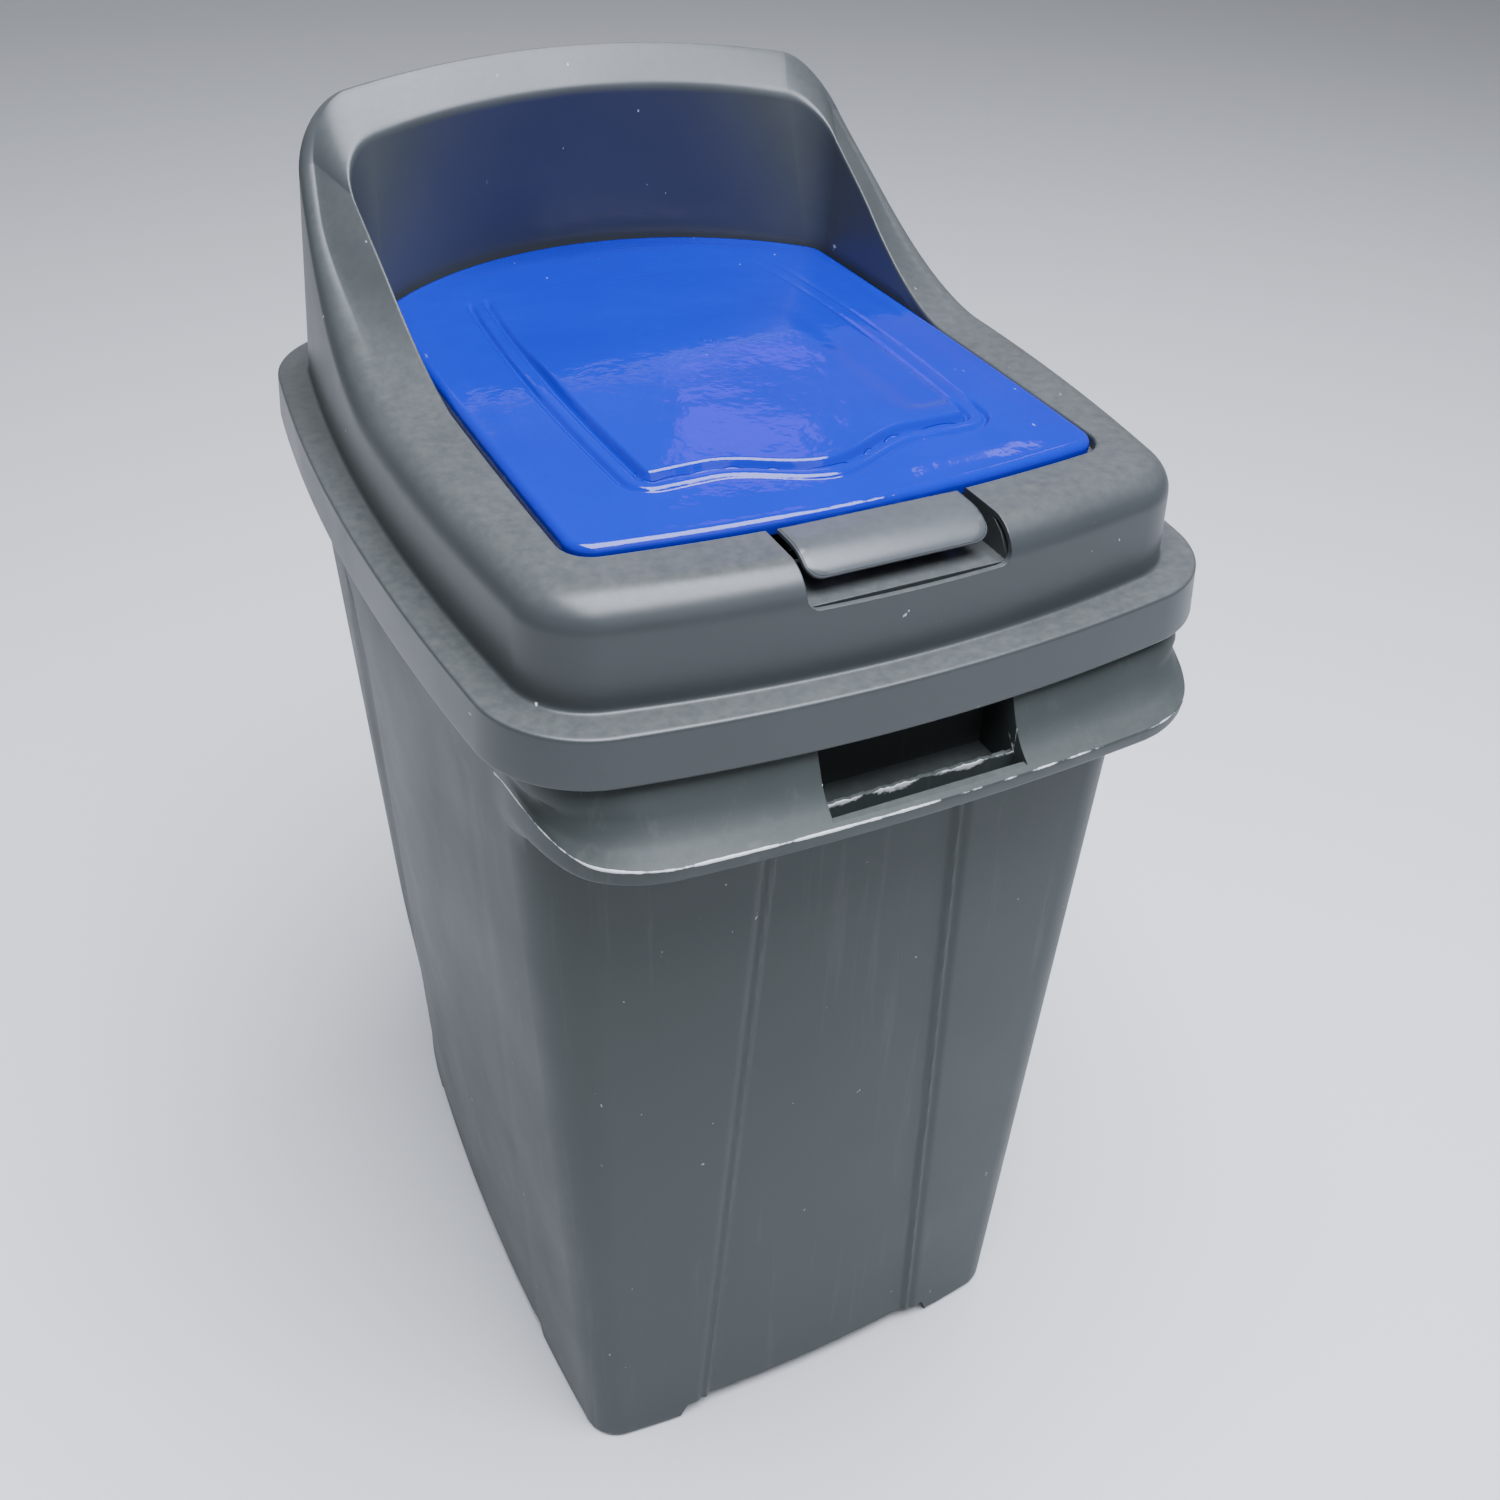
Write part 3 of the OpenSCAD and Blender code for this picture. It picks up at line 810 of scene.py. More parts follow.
# --------------------------------------------------------------------- tub


@dataclass(frozen=True)
class Tub:
    """The bin's body: a tapered shell with bumper grips, feet and a wheel notch."""

    steps: tuple = (96, 34, 56, 30, 60)
    wall: float = 3.5
    # The bumper: its reach at the front, where it fades along the sides, and its rear width.
    skirt_out: float = 269.0
    fade_from: float = 215.0
    fade_to: float = 172.0
    rear_half: float = 92.0
    rear_fade: float = 40.0
    lip_tuck: float = 3.0
    lip_lift: float = 9.0
    grip_half: float = 56.5
    grip_back: float = 241.0
    # The gaps between the feet, the notch for the wheels and the brackets for the axle.
    foot_h: float = 16.0
    gap_half: float = 100.0
    gap_front: float = -112.0
    gap_rear: float = 148.0
    gap_slope: float = 7.0
    notch_half: float = 151.0
    notch_front: float = 112.0
    notch_top: float = 106.0
    bracket_in: float = 92.0
    bracket_out: float = 111.9
    axle_bore: float = 6.05
    slot_half: float = 4.8
    # The front panel narrows upwards, is set in, and has a groove beside each edge.
    panel_half_low: float = 84.0
    panel_half_high: float = 58.5
    panel_rise: float = 512.0
    panel_depth: float = 4.0
    groove_depth: float = 2.0
    groove_half: float = 2.6
    groove_out: float = 4.5
    # A valley leans forward over each side wall, and a low crease stands before it.
    side_x: float = 130.0
    valley_high_y: float = 100.0
    valley_low_y: float = 178.0
    valley_half: float = 26.0
    valley_depth: float = 3.5
    crease_high_y: float = -135.0
    crease_low_y: float = -117.0
    crease_depth: float = 0.5
    crease_half: float = 9.0
    # The bumper's outermost edge and the rib's front face take the scuffs.
    crest: tuple = (-0.4, 18.9, 12, 72)
    rib_front: float = 270.5
    rib_rear: float = 268.0

    def wall_line(self, z: float) -> np.ndarray:
        """The plain wall's outline at a height."""
        return mix(TUB_FOOT.outline(self.steps), TUB_TOP.outline(self.steps), z / RIM_TOP_Z)

    def shares(self) -> tuple[np.ndarray, np.ndarray]:
        """How far each point of an outline belongs to the grips.

        Returns:
            Its shares of the front grip and of the rear grip.
        """
        top = TUB_TOP.outline(self.steps)
        front = smooth((-top[:, 1] - self.fade_to) / (self.fade_from - self.fade_to))
        rear = smooth((self.rear_half + self.rear_fade - np.abs(top[:, 0])) / self.rear_fade)
        return front, np.where(top[:, 1] < 0, 0, rear)

    def grip_ring(self, row: Sequence[float]) -> np.ndarray:
        """One ring of the bumper.

        Args:
            row: Height above the lip, way out from the skirt, bow, corner radius.

        Returns:
            The ring's points.
        """
        up, way_out, bow, radius = row
        front, rear = self.shares()
        reach = self.skirt_out + way_out - bow
        tuck = self.lip_tuck if up < 20 else 0
        bulge = Plan(RIM.half_w - tuck, reach, RIM.rear, bow, 15, 22, radius, RIM_REAR_R).outline(self.steps)
        q = mix(self.wall_line(LIP_Z + up), bulge, front[:, None])
        q[:, 1] = mix(q[:, 1], reach + bow, rear)
        # The lip rises where it runs out into the side wall.
        lift = self.lip_lift * front * (1 - front) * 4 * smooth((20 - abs(up)) / 20)
        return raised(q, LIP_Z + up + lift)

    def carved_wall(self, z: float) -> np.ndarray:
        """Sets the front panel and the side valleys into the wall.

        Args:
            z: Height of the outline.

        Returns:
            The outline's points.
        """
        q = self.wall_line(z)
        x, y = q[:, 0].copy(), q[:, 1].copy()
        at_front, at_side = y < 0, np.abs(x) > self.side_x
        edge = mix(self.panel_half_low, self.panel_half_high, (z - self.foot_h) / self.panel_rise)
        q[:, 1] += self.panel_depth * smooth((edge + 2.5 - np.abs(x)) / 5) * at_front
        groove = np.exp(-(((np.abs(x) - edge - self.groove_out) / self.groove_half) ** 2))
        q[:, 1] += self.groove_depth * groove * at_front * float(smooth((590 - z) / 30))
        centre = mix(self.valley_high_y, self.valley_low_y, (574 - z) / 500)
        half = self.valley_half * float(smooth((578 - z) / 90)) + 0.1
        dip = np.clip(1 - ((y - centre) / half) ** 2, 0, 1) ** 1.5 * at_side
        q[:, 0] -= np.sign(x) * self.valley_depth * dip * float(smooth((z - 20) / 60))
        line = mix(self.crease_high_y, self.crease_low_y, (590 - z) / 372)
        q[:, 0] -= np.sign(x) * self.crease_depth * smooth(1 - np.abs(y - line) / self.crease_half) * at_side
        return q

    def outside(self) -> Solid:
        """Lofts the outer skin from the feet to the rim.

        Returns:
            The skin, closed at both ends.
        """
        middle, edge, foot = (raised(TUB_FOOT.grow(d).outline(self.steps), 0) for d in (-7, -5, -0.02))
        low = [middle, *fillet(edge, foot, raised(self.carved_wall(6), 6), 6)]
        walls = [raised(self.carved_wall(z), z) for z in np.linspace(12, LIP_Z - 27, 50)]
        # The bumper's section, as rows for grip_ring: its underside, its lip and its sloping top.
        rows = np.array(
            [
                [-22, -33, 15, 45],
                [-17, -20, 15, 52],
                [-12.5, 12, 12, 68],
                [-10.5, 16.4, 12, 70],
                [-7, 17.5, 12, 71],
                [-2.6, 18.6, 12, 72],
                self.crest,
                [0.3, 17.6, 12, 72],
                [3, 14, 13, 72],
                [8, 8, 15, 71],
                [16, 2.2, 17, 68],
                [29, -3, 21, 62],
            ]
        )
        grips = [self.grip_ring(row) for row in chaikin(rows, 2)]
        front, rear = self.shares()
        share = np.maximum(front, rear)[:, None]
        band = RIM.outline(self.steps)
        tops = [raised(mix(self.wall_line(z), band, share), z) for z in (SKIRT_Z + 4, RIM_TOP_Z - 13)]
        rim = [raised(band, RIM_TOP_Z - 12), raised(band, RIM_TOP_Z - 1)]
        rim += [raised(RIM.grow(-1).outline(self.steps), RIM_TOP_Z)]
        return Solid.loft([*low, *walls, *grips, *tops, *rim])

    def inside(self) -> Solid:
        """Lofts the hollow, set in at the front so that the panel keeps its wall.

        Returns:
            The solid to take out of the outer skin.
        """
        set_in = self.panel_depth + 0.5
        low, high = TUB_FOOT.grow(-self.wall - 1), TUB_TOP.grow(-self.wall)
        foot = replace(low, front=low.front - set_in).outline(self.steps)
        top = replace(high, front=high.front - set_in).outline(self.steps)
        rings = [raised(replace(low.grow(-5), front=low.front - set_in - 5).outline(self.steps), self.wall)]
        for t in np.linspace(0, 1, 12):
            rings.append(raised(mix(foot, top, t), mix(self.wall + 6, RIM_TOP_Z + 1, t)))
        return Solid.loft(rings)

    def floor_gap(self, extra: float) -> list[Solid]:
        """The gaps under the floor that leave the four feet.

        Args:
            extra: How much each gap is grown.

        Returns:
            The gap from front to rear and the gap from side to side.
        """
        z, slope = self.foot_h + extra, self.gap_slope
        x, y0, y1 = self.gap_half + extra, self.gap_front - extra, self.gap_rear + extra
        across = [(-x - slope, -1), (-x, z), (x, z), (x + slope, -1)]
        along = [(y0 - slope, -1), (y0, z), (y1, z), (y1 + slope, -1)]
        return [Solid.plate_y(across, -400, 400), Solid.plate_x(along, -400, 400)]

    def notch(self, extra: float) -> Solid:
        """The space for the wheels, grown by extra."""
        half = self.notch_half + extra
        return Solid.block((-half, self.notch_front - extra, -1), (half, 400, self.notch_top + extra))

    def saddle(self) -> Solid:
        """The two brackets that hold the axle."""
        outline = [(111, 107), (111, 41), (156, 37), (180, 37), (184, 61), (188, 107)]
        return Solid.plate_x(outline, self.bracket_in, self.bracket_out).both_sides()

    def pocket(self) -> list[Solid]:
        """Blocks that open the hand hold behind the front lip.

        Returns:
            The well, the way in over the lip and the space under the rim.
        """
        half, back, lip = self.grip_half, self.grip_back, self.skirt_out + 16
        return [
            Solid.block((-half, -(lip - 5), LIP_Z - 12), (half, -back, SKIRT_Z + 3)),
            Solid.block((-half, -(lip + 20), LIP_Z + 1.5), (half, -back, SKIRT_Z + 3)),
            Solid.block((-half, -258, SKIRT_Z + 2), (half, -back, SKIRT_Z + 8)),
        ]

    def rib(self) -> Solid:
        """The upright rib across the front hand hold, with a worn, uneven top.

        Returns:
            The rib.
        """
        half = self.grip_half + 1
        x = mix(-half, half, np.linspace(0, 1, 60))
        top = LIP_Z + 1.5 + 0.7 * np.sin(x * 0.9) * np.sin(x * 0.37 + 1)
        outline = [(half, LIP_Z - 13), (-half, LIP_Z - 13), *zip(x, top)]
        return Solid.plate_y(outline, -self.rib_front, -self.rib_rear)

    def scuffs(self, p: np.ndarray) -> np.ndarray:
        """Marks where the bumper's edge and the rib are worn white.

        Args:
            p: Points in mm.

        Returns:
            How worn each point is.
        """
        x, y, z = p.T
        crest = self.grip_ring(self.crest)
        gap = np.full(len(p), 99.0)
        near = (np.abs(z - LIP_Z - 4) < 10) & (y < -175)
        gap[near] = np.linalg.norm(p[near, None] - crest[None], axis=2).min(1)
        lip = np.exp(-((gap / 2.0) ** 2)) * mix(1.0, 0.86, smooth((x + 40) / 60))
        on_rib = (y < 1 - self.rib_front) * (y > -self.rib_front - 0.5) * (np.abs(x) < self.grip_half)
        return lip + 0.95 * (z > LIP_Z + 0.6) * on_rib

    def build(self, shop: Shop) -> None:
        """Makes the tub with its hollow, feet, wheel notch, brackets and hand holds.

        Args:
            shop: What dresses the tub and hangs it on its body.
        """
        tub = self.outside().to_object("tub_shell")
        hollow = self.inside().to_object("hollow")
        for piece in (*self.floor_gap(self.wall), self.notch(self.wall)):
            carve(hollow, piece)
        carve(tub, Solid.taken_from(hollow))
        for piece in (*self.floor_gap(0), self.notch(0)):
            carve(tub, piece)
        carve(tub, self.saddle(), Cut.ADD)
        for piece in self.pocket():
            carve(tub, piece)
            carve(tub, piece.at_rear())
        for rib in (self.rib(), self.rib().at_rear()):
            carve(tub, rib, Cut.ADD)
        # The brackets' slots, through which the axle snaps in from below.
        x0, x1, half = self.bracket_in - 1, self.bracket_out + 1.1, self.slot_half
        carve(tub, Solid.bar_x(self.axle_bore, x0, x1, AXLE_Y, AXLE_Z).both_sides())
        carve(tub, Solid.block((x0, AXLE_Y - half, 0), (x1, AXLE_Y + half, AXLE_Z)).both_sides())
        shop.hand_over(tub, Body.TUB, Slot.SHELL, ["bin_body"], self.scuffs)


# -------------------------------------------------------------------- hood


@dataclass(frozen=True)
class Hood:
    """The lid: a skirt and flange, a domed deck and a raised canopy at the rear."""

    steps: tuple = (48, 40, 70, 40, 44)

    def dome_heights(self) -> tuple[np.ndarray, np.ndarray]:
        """Finds how high the deck and the canopy's rim run round the plan.

        Returns:
            The heights of their outer and inner edge.
        """
        rear = DOME_FOOT.rear + DOME_FOOT.rear_bow
        share = np.clip(DOME_FOOT.outline(self.steps)[:, 1], 0, None) / rear
        outer = DECK_Z + HOOD_RISE * share**HOOD_CURVE
        return outer, outer - RIM_DROP * smooth((share - DROP_FROM) / DROP_OVER)

    def flat(self, plan: Plan, z: float) -> np.ndarray:
        """A plan's ring at one height."""
        return raised(plan.outline(self.steps), z)

    def dome_at(self, inset: Values, z: Values) -> np.ndarray:
        """Finds a ring of the dome's wall.

        Args:
            inset: How far it is set in, for all points or for each.
            z: Its height, for all points or for each.

        Returns:
            The ring's points.
        """
        share = np.reshape(inset, (-1, 1)) / EDGE_R
        low, high = (
            mix(plan.outline(self.steps), plan.grow(-EDGE_R).outline(self.steps), share)
            for plan in (DOME_FOOT, DOME_TOP)
        )
        t = (np.broadcast_to(z, len(low)) - FLANGE_Z) / (PEAK_Z - FLANGE_Z)
        return raised(mix(low, high, t[:, None]), z)

    def mouth_at(self, outset: float, drop: Values) -> np.ndarray:
        """Finds a ring of the canopy's inner wall.

        Args:
            outset: How far it is set out.
            drop: How far it lies below the rim's inner edge.

        Returns:
            The ring's points.
        """
        z = self.dome_heights()[1] - drop
        low, high = MOUTH.grow(outset).outline(self.steps), CANOPY.grow(outset).outline(self.steps)
        t = np.clip((z - DECK_Z) / (HOOD_RISE - RIM_DROP), 0, None)
        return raised(mix(low, high, t[:, None]), z)

    def upright_at(self, outset: float, drop: float) -> np.ndarray:
        """Top of the upright part of the mouth wall, set out and dropped alike."""
        z = np.minimum(self.dome_heights()[1] - drop, UPRIGHT_TOP)
        return raised(MOUTH.grow(outset).outline(self.steps), z)

    def shell(self) -> Solid:
        """Lofts the skin as one closed section round the plan.

        The section runs up the skirt, over the flange, the dome and the edge to the mouth,
        and back along the inside.

        Returns:
            The skin.
        """
        flat = self.flat
        outer, inner = self.dome_heights()
        share = ((inner - DECK_Z) / (HOOD_RISE - RIM_DROP)).clip(0, 1)[:, None]
        skirt = (flat(FLANGE.grow(d), SKIRT_Z + z) for d, z in ((0.9, 0.02), (1.95, 0.02), (1.9, 1.2)))
        rings = fillet(*skirt, 3)
        rings += between(rings[-1], flat(FLANGE, FLANGE_Z - 2.4), 3)
        brink = flat(FLANGE.grow(-2.4), FLANGE_Z)
        rings += fillet(flat(FLANGE, FLANGE_Z - 2.4), flat(FLANGE, FLANGE_Z), brink, 6)
        foot = flat(DOME_FOOT.grow(2.5), FLANGE_Z)
        rings += between(rings[-1], foot, 3)
        rings += fillet(foot, flat(DOME_FOOT, FLANGE_Z), self.dome_at(0, FLANGE_Z + 3), 5)
        edge_r = mix(EDGE_R, CANOPY_EDGE_R, smooth((outer - DECK_Z) / 60))
        rings += between(rings[-1], self.dome_at(0, outer - edge_r), 14)
        turn = np.radians(np.linspace(0, 90, 17))
        rings += [self.dome_at(edge_r * (1 - math.cos(a)), outer - edge_r * (1 - math.sin(a))) for a in turn]
        edge = rings[-1]
        corner = self.mouth_at(0, 0)
        way = edge - corner
        way /= np.linalg.norm(way, axis=1)[:, None]
        soft = 2.6 + 2.0 * share
        wall = self.mouth_at(0, soft[:, 0])
        rings += between(edge, corner + way * soft, 5)
        rings += fillet(corner + way * soft, corner, wall, 7)
        upright = self.upright_at(0, 9.0)
        upright[:, 2] = np.minimum(upright[:, 2], wall[:, 2] - 0.5)
        rings += between(wall, upright, 9)
        rings += [upright, *between(upright, flat(MOUTH, WELL_Z), 3), flat(MOUTH, WELL_Z)]
        rings += [flat(MOUTH.grow(LID_WALL), WELL_Z)]
        back = self.upright_at(LID_WALL, 9.0 + LID_WALL)
        back[:, 2] = np.minimum(back[:, 2], wall[:, 2] - LID_WALL - 0.5)
        under = self.mouth_at(LID_WALL, soft[:, 0] + LID_WALL)
        rings += [back, *between(back, under, 3), under]
        rings += between(under, self.dome_at(edge_r, outer - LID_WALL), 2)
        small = edge_r - LID_WALL
        rings += [
            self.dome_at(edge_r - small * math.sin(a), outer - LID_WALL - small * (1 - math.cos(a)))
            for a in np.radians(np.linspace(0, 90, 7))
        ]
        rings += [flat(plan.grow(-LID_WALL), FLANGE_Z - LID_WALL) for plan in (DOME_FOOT, FLANGE)]
        rings += [flat(FLANGE.grow(2 - LID_WALL), SKIRT_Z + 0.02)]
        return Solid.loft(rings, closed=True)

    def recess(self) -> Solid:
        """Shapes what is cut away for the lever, open to the top and the front.

        Returns:
            The solid to take away, with its lower edges rounded.
        """
        r, half, top = 7.0, RECESS_HALF, RECESS_FLOOR + 60
        t = np.radians(np.linspace(0, 90, 9))
        low = [(half - r + r * math.sin(a), RECESS_FLOOR + r - r * math.cos(a)) for a in t]
        outline = [*[(-x, z) for x, z in reversed(low)], *low, (half, top), (-half, top)]
        return Solid.plate_y(outline, -286, -186)

    def ledge(self) -> Solid:
        """Shapes the ledge round the front of the mouth that the flap rests on.

        Returns:
            The ledge, cut off before the hinges.
        """
        inner, outer, low, high = MOUTH.grow(-9), MOUTH.grow(1), 712.7, 715.7
        rings = [self.flat(plan, z) for plan, z in ((outer, low), (outer, high), (inner, high), (inner, low))]
        ledge = Solid.loft(rings, closed=True).to_object("ledge")
        carve(ledge, Solid.block((-300, 88, 0), (300, 400, 900)))
        return Solid.taken_from(ledge)

    def build(self, shop: Shop) -> None:
        """Makes the hood with its lever recess, flap ledge and hinge bosses.

        Args:
            shop: What dresses the hood and hangs it on its body.
        """
        hood = self.shell().to_object("lid_shell")
        half, front, rear = RECESS_HALF, -241.0, -199.5
        low, high = RECESS_FLOOR - LID_WALL, 720.5
        cheek = [(rear, low), (front, low), (front, 704), (front + 8, 714), (front + 18, high), (rear, high)]
        carve(hood, Solid.plate_x(cheek, half, half + LID_WALL).both_sides(), Cut.ADD)
        floor = Solid.block((-half - LID_WALL, front, low), (half + LID_WALL, rear, RECESS_FLOOR))
        carve(hood, floor, Cut.ADD)
        carve(hood, Solid.bar_x(9, 150.8, 162, HINGE_Y, HINGE_Z).both_sides(), Cut.ADD)
        carve(hood, self.ledge(), Cut.ADD)
        carve(hood, self.recess())
        carve(hood, Solid.bar_x(4.05, 140.8, 172, HINGE_Y, HINGE_Z).both_sides())
        carve(hood, Solid.block((-10, -215, 692), (10, -197, 712)))
        shop.hand_over(hood, Body.HOOD, Slot.LID, ["lid_hood"], None, 50)


# -------------------------------------------------------------------- flap


@dataclass(frozen=True)
class FlapPanel:
    """The glossy flap: a pillowed plate with a rolled edge and a grooved panel."""

    steps: tuple = (130, 16, 150, 18, 80)
    top: float = 725.0
    thick: float = 3.0
    roll: float = 4.4
    pillow: float = 5.0
    # The panel: its left, right and rear edges, and a front edge that bulges in the middle.
    panel_left: float = 108.0
    panel_right: float = 112.0
    panel_rear: float = 128.0
    panel_front: float = 150.0
    panel_bulge: float = 20.0
    panel_corner: float = 16.0
    panel_waist: float = 0.00035
    # Two grooves follow the panel's outline, and the panel stands up inside them.
    groove: float = 2.6
    groove_half: float = 1.8
    groove_apart: float = 10.5
    step: float = 2.6
    # A shallow sunk spot, and the mark where the mould was filled.
    sink: float = 2.2
    gate: float = 0.5

    def panel_gap(self, x: np.ndarray, y: np.ndarray) -> np.ndarray:
        """Measures how far points lie from the panel's outline.

        Args:
            x: Their X.
            y: Their Y.

        Returns:
            The distances in mm, less than 0 inside.
        """
        bulge = self.panel_bulge * np.cos(np.clip(x / 62, -1, 1) * np.pi / 2) ** 2
        front = -(self.panel_front + bulge) - y
        narrowing = self.panel_waist * (y + 30) ** 2
        left, right = -(self.panel_left - narrowing) - x, x - (self.panel_right - narrowing)
        back, r = y - self.panel_rear, self.panel_corner
        a, b = np.maximum(left, right) + r, front + r
        corner = np.hypot(np.clip(a, 0, None), np.clip(b, 0, None)) + np.minimum(np.maximum(a, b), 0) - r
        return np.maximum(corner, back)

    def relief(self, x: np.ndarray, y: np.ndarray) -> np.ndarray:
        """Works out the height over the flap's flat top.

        Args:
            x: X of the points.
            y: Y of the points.

        Returns:
            The height from the pillow, the grooves, the panel, a sunk spot and the gate mark.
        """
        gap = self.panel_gap(x, y)
        # The grooves run out at the right and towards the rear.
        full = 1 - 0.85 * smooth((x - 60) / 20) * smooth((y + 128) / 15)
        fade = smooth((118 - y) / 14)
        lines = sum(np.exp(-(((gap + out) / self.groove_half) ** 2)) for out in (0, self.groove_apart))
        step = self.step * smooth((-gap - 11) / 4) * smooth((60 - y) / 70)
        swell = self.pillow * (1 - (x / 152) ** 2) * (1 - ((y + 8) / 196).clip(-1, 1) ** 2)
        sunk = self.sink * np.exp(-(((x - 40) / 60) ** 2) - (((y + 60) / 50) ** 2))
        from_gate = np.hypot(x - 4, y + 5)
        gate = self.gate * (np.exp(-((from_gate - 4) ** 2)) + np.exp(-(from_gate**2) / 2))
        return swell + fade * full * (step - self.groove * lines) - sunk + gate

    def ring(self, share: float, drop: float) -> np.ndarray:
        """Finds a ring of the flap's face.

        Args:
            share: Its size, where 1 is the edge inside the roll.
            drop: How far it lies below the top face.

        Returns:
            The ring's points.
        """
        centre = np.array([0.0, -20.0])
        q = centre + (FLAP.grow(-self.roll).outline(self.steps) - centre) * share
        return raised(q, self.top + self.relief(q[:, 0], q[:, 1]) * smooth((1 - share) / 0.1) - drop)

    def skin(self) -> Solid:
        """Lofts the top, the rolled edge and the underside.

        Returns:
            The flap as one closed skin.
        """
        # Rings lie closest where the grooves run.
        stretches = ((1, 0.9, 14), (0.9, 0.6, 100), (0.6, 0.004, 60))
        shrink = np.concatenate([np.linspace(a, b, n)[: -1 if b > 0.004 else n] for a, b, n in stretches])
        sizes = ((self.thick, 9), (0.6, 9), (0, 8.4))
        turn = np.radians(np.linspace(0, 90, 9))
        sizes += tuple((self.roll * (1 - math.cos(a)), self.roll * (1 - math.sin(a))) for a in turn)
        rings = [raised(FLAP.grow(-inset).outline(self.steps), self.top - drop) for inset, drop in sizes]
        rings += [self.ring(k, 0) for k in shrink[1:]]
        under = [self.ring(k, self.thick) for k in np.linspace(0.004, 1, 24)][:-1]
        under += [raised(FLAP.grow(-self.thick - 0.5).outline(self.steps), self.top - self.thick)]
        return Solid.loft([*under, *rings])

    def arms(self) -> Solid:
        """Shapes the hinge lugs at the sides and the two arms for the lever pin.

        Returns:
            All of them, left and right.
        """
        lug = Solid.bar_x(8, 139.4, 147.4, HINGE_Y, HINGE_Z, 0.6)
        web = Solid.block((139.4, HINGE_Y - 8, HINGE_Z), (147.4, HINGE_Y + 8, 723))
        eye = Solid.bar_x(4, 30, 36, LEVER_PIN_Y, LEVER_PIN_Z, 0.4)
        arm = Solid.plate_x([(-192, 716), (LEVER_PIN_Y, 710), (LEVER_PIN_Y, 718), (-192, 718.5)], 30, 36)
        return (lug + web + eye + arm).both_sides()

    def build(self, shop: Shop) -> None:
        """Makes the flap and its arms.

        Args:
            shop: What dresses them and hangs them on their body.
        """
        flap = self.skin().to_object("flap_skin")
        shop.hand_over(flap, Body.FLAP, Slot.FLAP, ["flap"], None, 60)
        arms = self.arms().to_object("flap_arms")
        shop.hand_over(arms, Body.FLAP, Slot.FLAP, ["flap"], None, 40)


# ------------------------------------------------------------------- lever


